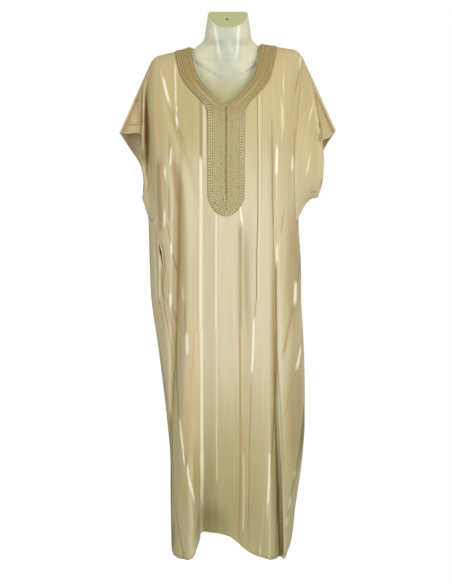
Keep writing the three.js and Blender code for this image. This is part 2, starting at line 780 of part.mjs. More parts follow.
// The dress form: level sections from hip to neck, closed below by a flat face and above by
// the neck's ridged face.
const FORM_ROWS = 8;
const FORM_TOP = FORM_SECTIONS[FORM_SECTIONS.length - 1].z;
function formHeight(z, y) {
  const share = smooth((z - NECK_FACE.from) / (FORM_TOP - NECK_FACE.from));
  return z + NECK_FACE.rise * share * Math.min(y, 0);
}
const formMiddle = (z) => new THREE.Vector3(FORM_X, 0, z);
function formRing(z, grow = 0) {
  const half = blend(FORM_SECTIONS, "z", z, "half") + grow;
  const front = blend(FORM_SECTIONS, "z", z, "front") - grow;
  const back = blend(FORM_SECTIONS, "z", z, "back") + grow;
  const power = blend(FORM_SECTIONS, "z", z, "power");
  const throat = blend(FORM_SECTIONS, "z", z, "throat");
  const ring = [];
  for (let i = 0; i < FORM_ROUND; i++) {
    const turn = (2 * Math.PI * i) / FORM_ROUND;
    const [sine, cosine] = [Math.sin(turn), Math.cos(turn)];
    const x = half * Math.sign(sine) * Math.abs(sine) ** (2 / power);
    const forward = front - throat * Math.exp(-((x / THROAT_SPREAD) ** 2));
    const y = (cosine > 0 ? forward : back) * Math.abs(cosine) ** (2 / power);
    ring.push(new THREE.Vector3(FORM_X + x, y, formHeight(z, y)));
  }
  return ring;
}
// A closed solid over a stack of rings, with a fan about a middle point at each end.
function ringSolid(rings, middles) {
  const n = rings[0].length;
  const points = [...rings.flat(), ...middles];
  const faces = [];
  for (let r = 0; r + 1 < rings.length; r++) {
    for (let i = 0; i < n; i++) {
      const j = (i + 1) % n;
      const [a, b, c, d] = [r * n + i, r * n + j, (r + 1) * n + j, (r + 1) * n + i];
      faces.push(a, b, c, a, c, d);
    }
  }
  const [low, high] = [n * rings.length, n * rings.length + 1];
  const last = n * (rings.length - 1);
  for (let i = 0; i < n; i++) {
    const j = (i + 1) % n;
    faces.push(low, j, i, high, last + i, last + j);
  }
  return closedMesh(points, faces);
}
function formTorso() {
  const low = FORM_SECTIONS[0].z;
  const heights = new Set(FORM_SECTIONS.map((row) => row.z));
  for (let r = 0; r <= FORM_ROWS; r++) heights.add(low + ((FORM_TOP - low) * r) / FORM_ROWS);
  const levels = [...heights].sort((a, b) => a - b);
  const rings = levels.map((z) => formRing(z));
  return ringSolid(rings, [formMiddle(low), formMiddle(FORM_TOP)]);
}
function neckCap() {
  const face = formRing(FORM_TOP, -NECK_CAP.inset);
  const raised = (distance) => face.map((p) => p.clone().add(new THREE.Vector3(0, 0, distance)));
  const [low, high] = [2 * FIT_GAP, 2 * FIT_GAP + NECK_CAP.thick];
  return ringSolid([raised(low), raised(high)], [formMiddle(FORM_TOP + low), formMiddle(FORM_TOP + high)]);
}

// A round piece about its own upright axis, from a profile of radii and heights.
function turned(profile, segments) {
  const points = profile.map(([radius, height]) => new THREE.Vector2(radius, height));
  return new THREE.LatheGeometry(points, segments).rotateX(Math.PI / 2);
}
const DISC_SIDES = 32;
function disc({ radius, height, edge }) {
  const rim = [
    [radius - edge, 0],
    [radius, edge],
    [radius, height - edge],
    [radius - edge, height],
  ];
  return turned([[0, 0], ...rim, [0, height]], DISC_SIDES);
}

const djellaba = new THREE.Group();
function add(name, geometry, material, place = [0, 0, 0]) {
  const mesh = new THREE.Mesh(geometry, material);
  mesh.name = name;
  mesh.position.set(...place);
  djellaba.add(mesh);
}

const front = panel(true);
const back = panel(false);
matchSides(front, back);
add("front_panel", wall(front.grid, front.normals, CLOTH_WALL), CLOTH);
add("back_panel", wall(back.grid, back.normals, CLOTH_WALL), CLOTH);
for (const [side, sign] of [["left", -1], ["right", 1]]) {
  add("sleeve_" + side, sleeve(side, front, back), CLOTH);
  for (const [name, part] of Object.entries(CHEST_PARTS)) {
    const material = name === "neckband" ? EMBROIDERY : BRAID;
    add(name + "_" + side, chestStrip(front, sign, part), material);
  }
}
const backNeckBraid = [BAND_INSET + 1, BAND_INSET + 1 + NECK_BRAID_WIDTH];
const backOuterBraid = [BACK_BAND_WIDTH - 1 - OUTER_BRAID_WIDTH, BACK_BAND_WIDTH - 1];
add("neckband_back", backStrip(back, BAND_INSET, BACK_BAND_WIDTH, 4, BAND_WALL, LAY_GAP), EMBROIDERY);
add("neck_braid_back", backStrip(back, ...backNeckBraid, 2, BRAID_WALL, ON_BAND), BRAID);
add("outer_braid_back", backStrip(back, ...backOuterBraid, 2, BRAID_WALL, ON_BAND), BRAID);

add("form_torso", formTorso(), FORM_SHELL);
add("form_neck_cap", neckCap(), CAP_PLATE);
add("stand_base", disc(BASE), WHITE_METAL, [BASE.x, BASE.y, 0]);
const plateZ = FORM_SECTIONS[0].z - FIT_GAP - PLATE.height;
add("stand_plate", disc(PLATE), WHITE_METAL, [POLE.x, POLE.y, plateZ]);
const poleFoot = BASE.height + FIT_GAP;
const pole = disc({ radius: POLE.radius, height: plateZ - FIT_GAP - poleFoot, edge: POLE.edge });
add("stand_pole", pole, WHITE_METAL, [POLE.x, POLE.y, poleFoot]);

export default djellaba;
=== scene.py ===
import math

import bpy
import numpy as np
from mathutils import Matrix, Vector


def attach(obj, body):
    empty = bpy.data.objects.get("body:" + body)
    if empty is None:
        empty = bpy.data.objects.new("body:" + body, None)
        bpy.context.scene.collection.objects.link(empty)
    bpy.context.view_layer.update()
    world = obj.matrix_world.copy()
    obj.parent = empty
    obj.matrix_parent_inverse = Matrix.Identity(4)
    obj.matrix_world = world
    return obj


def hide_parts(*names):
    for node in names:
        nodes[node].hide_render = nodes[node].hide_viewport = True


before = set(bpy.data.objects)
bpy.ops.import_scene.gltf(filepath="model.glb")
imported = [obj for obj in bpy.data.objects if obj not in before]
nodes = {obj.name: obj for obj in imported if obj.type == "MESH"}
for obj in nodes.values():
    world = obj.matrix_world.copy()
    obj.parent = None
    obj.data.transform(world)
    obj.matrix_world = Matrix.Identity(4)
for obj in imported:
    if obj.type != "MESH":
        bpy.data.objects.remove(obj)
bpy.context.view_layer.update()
scene = bpy.context.scene

# Camera: level with the chest of a dress form and 2.9 m in front of it, looking slightly down,
# so that the whole garment from neck to hem fills the picture.
CAMERA_PLACE = (0.0, -2.9, 1.28)
CAMERA_PITCH = 9.86  # degrees below the horizon
CAMERA_LENS, CAMERA_REACH = 67.2, 50
camera = bpy.data.objects.new("camera", bpy.data.cameras.new("camera"))
camera.location = CAMERA_PLACE
camera.rotation_euler = (math.radians(90 - CAMERA_PITCH), 0, 0)
camera.data.lens = CAMERA_LENS
camera.data.clip_end = CAMERA_REACH
scene.collection.objects.link(camera)
scene.camera = camera

# ---------------------------------------------------------------- front and back of the garment
# The front and the back are one cloth each, woven in cream with lengthwise stripes and cut
# straight and wide. They are sewn at the shoulders and at the sides, with a pocket slit in each
# side seam, and hang free from the shoulders of the form to the hem.
#
# Shape: horizontal sections and large folds, from tables in millimetres. Everything sewn on the
# garment takes its place from the same tables.
MM = 0.001


def table(columns, lines):
    """Columns by name, from short rows."""
    return {name: np.array([line[i] for line in lines], float) for i, name in enumerate(columns)}


def smooth(t):
    """A soft step: 0 up to t = 0, and 1 from t = 1."""
    k = np.clip(t, 0, 1)
    return k * k * (3 - 2 * k)


def blend(rows, key, at, column):
    """A value between the rows of a table, on a smooth curve that never overshoots."""
    keys, values = rows[key], rows[column]
    steps = np.diff(keys)
    secant = np.diff(values) / steps
    inner = np.where(secant[:-1] * secant[1:] <= 0, 0, (secant[:-1] + secant[1:]) / 2)
    tangent = np.concatenate([secant[:1], inner, secant[-1:]])
    inside = np.clip(at, keys[0], keys[-1])
    i = np.clip(np.searchsorted(keys, inside, side="left") - 1, 0, len(keys) - 2)
    t = (inside - keys[i]) / steps[i]
    near = (1 + 2 * t) * (1 - t) ** 2
    bend = t * (1 - t) ** 2 * tangent[i] - t**2 * (1 - t) * tangent[i + 1]
    return near * values[i] + (1 - near) * values[i + 1] + steps[i] * bend


SECTION_POWER = 2.5
SIDE_FOLDS_FROM, SIDE_FOLDS_OVER, FACE_FOLDS_OVER = 0.6, 0.4, 0.4
HEM_Z, HEM_FROM = 45, 450
UNDERARM_Z, CHEST_Z, BUST_Z = 974, 1150, 1190
SHOULDER_Y = 6
SHOULDER_ROUND_FRONT, SHOULDER_ROUND_BACK = 0.5, 0.36
NECK_HALF, NECK_POINT_Z = 88, 1425
SHOULDER_SLOPE, SHOULDER_TILT, TILT_ENDS_AT = 0.2, 0.045, 3
SHOULDER_TURN_FROM, SHOULDER_TURN_CURVE = 176, 0.032
SHOULDER_END = {"left": -194, "right": 200}
V_POINT_Z = 1274
BACK_NECK_DROP = 16
POCKET_LOW, POCKET_HIGH, POCKET_GAPE, POCKET_SKEW = 812, 924, 5.5, 2.6

OUTLINE = table(("z", "left", "right", "front", "back"), [
    (25, -151, 163, -128, 128),
    (68, -152, 179, -128, 127),
    (186, -152, 193, -127, 125),
    (303, -151, 208, -126, 123),
    (418, -159, 215, -125, 121),
    (531, -171, 214, -124, 120),
    (643, -184, 210, -124, 120),
    (754, -199, 203, -124, 119),
    (863, -203, 200, -125, 117),
    (974, -205, 193, -126, 109),
    (1100, -214, 203, -127, 104),
    (1190, -214, 206, -128, 103),
])
HEM_FRONT = table(("x", "z"), [
    (-151, 46), (-143, 58), (-130, 65), (-112, 68), (-95, 72), (-82, 82),
    (-69, 101), (-45, 104), (-22, 103), (17, 92),
    (47, 74), (72, 62), (99, 58), (127, 50), (155, 36), (163, 40),
])
HEM_BACK = table(("x", "z"), [
    (-151, 38), (-92, 60), (-40, 54), (8, 64), (60, 54), (98, 61), (163, 40),
])
SIDE_SEAM = table(("z", "left", "right"), [
    (25, -88, 88), (300, -74, 88), (500, -56, 90), (650, -44, 92),
    (770, -46, 90), (866, -51, 84), (974, -60, 73),
])
ARMHOLE_FRONT = table(("z", "left", "right"), [
    (974, -190, 183), (1030, -178, 179), (1115, -177, 176),
    (1205, -183, 180), (1310, -190, 190), (1390, -194, 200),
])
ARMHOLE_BACK = table(("z", "left", "right"), [
    (974, -60, 73), (1000, -84, 90), (1040, -103, 105), (1100, -116, 117), (1150, -122, 122),
])


def fold(*lines):
    """One fold: x where it starts, its flat bottom, the run of both flanks, and its depth."""
    return table(("z", "x", "flat", "left", "right", "depth"), lines)


FRONT_FOLDS = [
    # deep recess at the hem
    fold((25, -68, 58, 14, 150, 93), (120, -68, 60, 20, 146, 74), (260, -64, 70, 34, 120, 34),
         (380, -56, 60, 44, 100, 12), (500, -50, 50, 50, 90, 0)),
    # flap that stands out beside it
    fold((25, -128, 30, 30, 30, -38), (200, -126, 28, 34, 34, -22), (460, -120, 20, 34, 34, 0)),
    # long valley on the left
    fold((330, -150, 0, 12, 26, 0), (490, -140, 0, 15, 30, 26), (754, -127, 0, 20, 32, 34),
         (940, -123, 0, 20, 28, 28), (1050, -122, 0, 18, 22, 16), (1150, -140, 0, 16, 18, 0)),
    # long valley on the right
    fold((25, 150, 0, 26, 14, 40), (245, 139, 0, 20, 14, 38), (500, 129, 0, 16, 14, 26),
         (885, 123, 0, 14, 14, 11), (1155, 116, 0, 12, 12, 5), (1300, 112, 0, 12, 12, 0)),
    # narrow pleat beside it
    fold((25, 124, 0, 5, 14, 9), (300, 124, 0, 5, 9, 7), (480, 123, 0, 5, 5, 0)),
    # crease from the foot of the embroidery
    fold((600, 60, 0, 22, 16, 0), (800, 52, 0, 18, 14, 7), (940, 48, 0, 14, 12, 4),
         (985, 46, 0, 12, 12, 0)),
    # drape down from the left shoulder
    fold((900, -72, 0, 24, 24, 0), (1060, -84, 0, 18, 18, 3.5), (1250, -142, 0, 14, 14, 4),
         (1340, -164, 0, 14, 14, 0)),
]
BACK_FOLDS = [
    fold((25, 8, 0, 46, 40, 46), (400, 4, 0, 40, 38, 26), (700, 2, 0, 34, 34, 6),
         (840, 0, 0, 30, 30, 0)),
    fold((25, -92, 0, 30, 34, 36), (420, -100, 0, 28, 30, 24), (700, -108, 0, 24, 26, 9),
         (860, -112, 0, 20, 24, 0)),
    fold((25, 98, 0, 32, 30, 38), (420, 108, 0, 30, 28, 26), (700, 116, 0, 26, 24, 8),
         (860, 120, 0, 24, 20, 0)),
]
SIDE_FOLDS = {
    "left": fold((25, 28, 0, 30, 30, 20), (500, 24, 0, 28, 28, 16), (900, 20, 0, 22, 22, 8),
                 (1040, 20, 0, 22, 22, 0)),
    "right": fold((25, 12, 0, 34, 30, 24), (500, 18, 0, 30, 28, 18), (900, 22, 0, 22, 22, 8),
                  (1040, 22, 0, 22, 22, 0)),
}
BAND_EDGES = table(("at", "in_x", "in_z", "out_x", "out_z"), [
    (0, 88, 1422, 130, 1413), (1, 83, 1394, 124, 1384), (2, 74, 1360, 114, 1350),
    (3, 59, 1331, 98, 1322), (4, 39, 1309, 78, 1300), (5, 19, 1290, 60, 1282),
    (6, 2, 1272, 50, 1266), (7, 0, 1250, 46, 1246), (8, 0, 1180, 46, 1180),
    (9, 0, 1110, 46, 1110), (10, 0, 1052, 46, 1052), (11, 0, 1030, 40, 1027),
    (12, 0, 1014, 27, 1007), (13, 0, 1000, 9, 996), (14, 0, 996, 0.5, 995),
])


def fold_depth(rows, x, z):
    """How far one fold pushes the cloth in; a negative depth stands out."""
    start = blend(rows, "z", z, "x")
    end = start + blend(rows, "z", z, "flat")
    rise = smooth((x - start) / blend(rows, "z", z, "left") + 1)
    fall = smooth(1 - (x - end) / blend(rows, "z", z, "right"))
    return blend(rows, "z", z, "depth") * rise * fall


def all_folds(folds, x, z):
    return sum(fold_depth(rows, x, z) for rows in folds)


def section(z):
    """Middle, half width, front and back of the level section."""
    level = np.minimum(z, BUST_Z)
    left, right, front, back = (
        blend(OUTLINE, "z", level, name) for name in ("left", "right", "front", "back")
    )
    return (left + right) / 2, (right - left) / 2, front, back


def ring_point(degrees, z):
    """x and y of the point at an angle round the section: 0 is the front, 90 the right side."""
    middle, half, front, back = section(z)
    sine, cosine = np.sin(np.radians(degrees)), np.cos(np.radians(degrees))
    is_front = cosine > 0
    x = middle + half * np.sign(sine) * np.abs(sine) ** (2 / SECTION_POWER)
    y = np.where(is_front, front, back) * np.abs(cosine) ** (2 / SECTION_POWER)
    push = np.where(is_front, all_folds(FRONT_FOLDS, x, z), -all_folds(BACK_FOLDS, x, z))
    squeeze = np.where(
        sine < 0, fold_depth(SIDE_FOLDS["left"], y, z), fold_depth(SIDE_FOLDS["right"], y, z)
    ) * smooth((np.abs(sine) - SIDE_FOLDS_FROM) / SIDE_FOLDS_OVER)
    return x - np.sign(sine) * squeeze, y + push * smooth(np.abs(cosine) / FACE_FOLDS_OVER)


def angle_at(x, z):
    """The angle round the section at which the front lies at x."""
    middle, half, _, _ = section(z)
    q = np.clip((x - middle) / half, -1, 1)
    return np.degrees(np.arcsin(np.sign(q) * np.abs(q) ** (SECTION_POWER / 2)))


def shoulder_z(x):
    """Height of the shoulder seam, which turns down at its outer end."""
    out = np.abs(x) - NECK_HALF
    turned = np.maximum(0, np.abs(x) - SHOULDER_TURN_FROM)
    slope = NECK_POINT_Z - SHOULDER_SLOPE * out + SHOULDER_TILT * x
    return slope - SHOULDER_TURN_CURVE * turned**2


def neck_tilt(at, x):
    """How much the upper neck line rises with the higher shoulder."""
    return SHOULDER_TILT * x * np.maximum(0, 1 - at / TILT_ENDS_AT)


def cloth_y(x, z, is_front):
    """Depth of the cloth at x and z on the front or the back, up to the shoulder seam."""
    angle = angle_at(x, np.minimum(z, BUST_Z))
    low = ring_point(angle if is_front else 180 - angle, np.minimum(z, BUST_Z))[1]
    top = shoulder_z(x)
    t = np.clip((top - z) / (top - BUST_Z), 0, 1)
    lean = np.sin(np.pi / 2 * t) ** (SHOULDER_ROUND_FRONT if is_front else SHOULDER_ROUND_BACK)
    folds = 0
    if is_front:
        folds = all_folds(FRONT_FOLDS, x, z) - all_folds(FRONT_FOLDS, x, BUST_Z)
    high = SHOULDER_Y + (low - SHOULDER_Y) * lean + folds * t
    return np.where(z <= BUST_Z, low, high)


def armhole_x(side, z, is_front):
    """Where the armhole seam lies above the chest."""
    front = blend(ARMHOLE_FRONT, "z", z, side)
    if is_front:
        return front
    low = ring_point(blend(ARMHOLE_BACK, "z", CHEST_Z, side), CHEST_Z)[0]
    share = (z - CHEST_Z) / (shoulder_z(SHOULDER_END[side]) - CHEST_Z)
    return low + (SHOULDER_END[side] - low) * np.minimum(1, share)


def resample(points, cells):
    """Points at equal steps along a line, and the length of line up to each."""
    steps = np.linalg.norm(np.diff(points[:, :3], axis=0), axis=1)
    length = np.concatenate([[0], np.cumsum(steps)])
    at = np.linspace(0, length[-1], cells + 1)
    return np.stack([np.interp(at, length, column) for column in points.T], axis=1), at


CELLS_SHOULDER, CELLS_NECK = 34, 46
CELLS_UPPER, CELLS_CHEST, CELLS_SKIRT = 64, 26, 160
HALF_CELLS = CELLS_SHOULDER + CELLS_NECK
TOP_ROWS_CLOSER = 1.6
SEAM_GAP = 0.5
ROW_STEPS = 500
SHOULDER_POINTS, NECK_POINTS, BACK_NECK_POINTS = 60, 55, 40
NECK_AT = (0.2, 5.6)
PULL_CURVE, HEM_CURVE = 3, 1.5


def top_edge(is_front):
    """The panel's top edge as x and z: shoulder, neck and shoulder, from left to right."""
    halves = []
    for side, sign in (("left", -1), ("right", 1)):
        x = np.linspace(SHOULDER_END[side], sign * NECK_HALF, SHOULDER_POINTS)
        shoulder = np.stack([x, shoulder_z(x)], axis=1)
        point = shoulder[-1]
        if is_front:
            at = np.linspace(*NECK_AT, NECK_POINTS)
            edge_x = sign * blend(BAND_EDGES, "at", at, "in_x")
            edge_z = blend(BAND_EDGES, "at", at, "in_z") + neck_tilt(at, edge_x)
            neck = np.vstack([point, np.stack([edge_x, edge_z], axis=1), (0, V_POINT_Z)])
        else:
            turn = np.linspace(0, np.pi / 2, BACK_NECK_POINTS)
            level = point[1] + (NECK_POINT_Z - point[1] - BACK_NECK_DROP) * np.sin(turn)
            neck = np.stack([point[0] * np.cos(turn), level], axis=1)
        halves.append(np.vstack([
            resample(shoulder, CELLS_SHOULDER)[0], resample(neck, CELLS_NECK)[0][1:],
        ]))
    return np.vstack([halves[0], halves[1][::-1][1:]])


def side_ends(z, is_front):
    """The angles round the section at which a panel ends on the left and on the right."""
    sides = ("left", "right")
    if is_front and z >= UNDERARM_Z:
        return [float(angle_at(blend(ARMHOLE_FRONT, "z", z, side), z)) for side in sides]
    rows = SIDE_SEAM if z < UNDERARM_Z else ARMHOLE_BACK
    return [float(blend(rows, "z", z, side)) for side in sides]


def level_row(z, is_front):
    """A level row of points from left to right, and the length of cloth from the middle."""
    left, right = side_ends(z, is_front)
    middle = float(angle_at(0, z))
    if not is_front:
        middle, left = 180 - middle, 360 + left
    halves = []
    for end in (left, right):
        x, y = ring_point(np.linspace(middle, end, ROW_STEPS), z)
        halves.append(resample(np.stack([x, y, np.full_like(x, z)], axis=1), HALF_CELLS))
    (left_points, left_length), (right_points, right_length) = halves
    row = np.vstack([left_points[::-1], right_points[1:]])
    return row, np.concatenate([-left_length[::-1], right_length[1:]])


def panel_grid(is_front):
    """The whole panel as rows of points, its top edge first, with the cloth's own u and v."""
    chest, chest_u = level_row(CHEST_Z, is_front)
    top = top_edge(is_front)
    column = np.arange(2 * HALF_CELLS + 1)
    edge_share = (np.abs(column - HALF_CELLS) / HALF_CELLS) ** PULL_CURVE
    grid, u = [], []
    order = np.argsort(chest[:, 0])
    for r in range(CELLS_UPPER):
        v = (r / CELLS_UPPER) ** TOP_ROWS_CLOSER
        z = top[:, 1] + (CHEST_Z - top[:, 1]) * v
        pull = np.zeros(len(column))
        is_left = column < HALF_CELLS
        for side, end, mask in (("left", 0, is_left), ("right", -1, ~is_left)):
            straight = top[end, 0] + (chest[end, 0] - top[end, 0]) * v
            wanted = armhole_x(side, top[end, 1] + (CHEST_Z - top[end, 1]) * v, is_front)
            pull[mask] = float(wanted - straight)
        x = top[:, 0] + (chest[:, 0] - top[:, 0]) * v + pull * edge_share
        y = cloth_y(x, z, is_front)
        if r == 0:
            seam = np.abs(x) >= NECK_HALF - 1
            y = np.where(seam, SHOULDER_Y + (-SEAM_GAP if is_front else SEAM_GAP) / 2, y)
        grid.append(np.stack([x, y, z], axis=1))
        inside = np.interp(x, chest[order, 0], chest_u[order])
        beyond = x - np.clip(x, chest[order[0], 0], chest[order[-1], 0])
        u.append(inside + beyond)
    heights = np.concatenate([
        np.linspace(CHEST_Z, UNDERARM_Z, CELLS_CHEST, endpoint=False),
        np.linspace(UNDERARM_Z, HEM_Z, CELLS_SKIRT + 1),
    ])
    hem = HEM_FRONT if is_front else HEM_BACK
    for z in heights:
        row, length = level_row(z, is_front)
        fade = max(0, (HEM_FROM - z) / (HEM_FROM - HEM_Z)) ** HEM_CURVE
        row[:, 2] += (blend(hem, "x", row[:, 0], "z") - HEM_Z) * fade
        grid.append(row)
        u.append(length)
    return trim_sides(np.array(grid)), np.array(u)


def trim_sides(grid):
    """Opens the seams at both sides a little, and the pocket slits more."""
    for end, inner in ((0, 1), (-1, -2)):
        step = grid[:, inner] - grid[:, end]
        step /= np.linalg.norm(step, axis=1)[:, None]
        along = np.clip((grid[:, end, 2] - POCKET_LOW) / (POCKET_HIGH - POCKET_LOW), 0, 1)
        gape = POCKET_GAPE * np.sin(np.pi * along**POCKET_SKEW) ** 2
        grid[:, end] += step * ((SEAM_GAP + gape) / 2)[:, None]
    return grid


def grid_normals(grid, out, closed=False):
    """Outward normals of a grid of points; closed joins the last column to the first."""
    padded = np.concatenate([grid[:1], grid, grid[-1:]])
    down = padded[2:] - padded[:-2]
    if closed:
        across = np.roll(grid, -1, axis=1) - np.roll(grid, 1, axis=1)
    else:
        wide = np.concatenate([grid[:, :1], grid, grid[:, -1:]], axis=1)
        across = wide[:, 2:] - wide[:, :-2]
    normal = np.cross(down, across)
    return out * normal / np.maximum(np.linalg.norm(normal, axis=2), 1e-9)[:, :, None]


def grid_object(name, grid, uv, out, wall, closed=False, attributes=None):
    """A mesh from a grid of points in millimetres, with the cloth's uv in metres."""
    R, C = grid.shape[:2]
    index = np.arange(R * C).reshape(R, C)
    right = np.roll(index, -1, axis=1)
    cells = C if closed else C - 1
    a, b = index[:-1, :cells], right[:-1, :cells]
    c, d = right[1:, :cells], index[1:, :cells]
    faces = np.stack([a, d, c, b] if out > 0 else [a, b, c, d], axis=2).reshape(-1, 4)
    mesh = bpy.data.meshes.new(name)
    mesh.from_pydata((grid.reshape(-1, 3) * MM).tolist(), [], faces.tolist())
    layer = mesh.uv_layers.new(name="cloth")
    flat = (uv.reshape(-1, 2) * MM)[faces.reshape(-1)]
    if closed:
        # the last cell runs on past the seam instead of back to the first column
        last = np.zeros((R - 1, cells, 4), bool)
        corners = (2, 3) if out > 0 else (1, 2)
        for k in corners:
            last[:, -1, k] = True
        flat[last.reshape(-1), 1] = uv[0, -1, 1] * MM + (uv[0, 1, 1] - uv[0, 0, 1]) * MM
    layer.data.foreach_set("uv", flat.reshape(-1))
    for key, values in (attributes or {}).items():
        kind, field = ("FLOAT_COLOR", "color") if values.ndim == 3 else ("FLOAT", "value")
        mesh.attributes.new(key, kind, "POINT").data.foreach_set(field, values.reshape(-1))
    mesh.shade_smooth()
    obj = bpy.data.objects.new(name, mesh)
    scene.collection.objects.link(obj)
    shell = obj.modifiers.new("wall", "SOLIDIFY")
    shell.thickness = wall * MM
    shell.offset = 0
    return obj


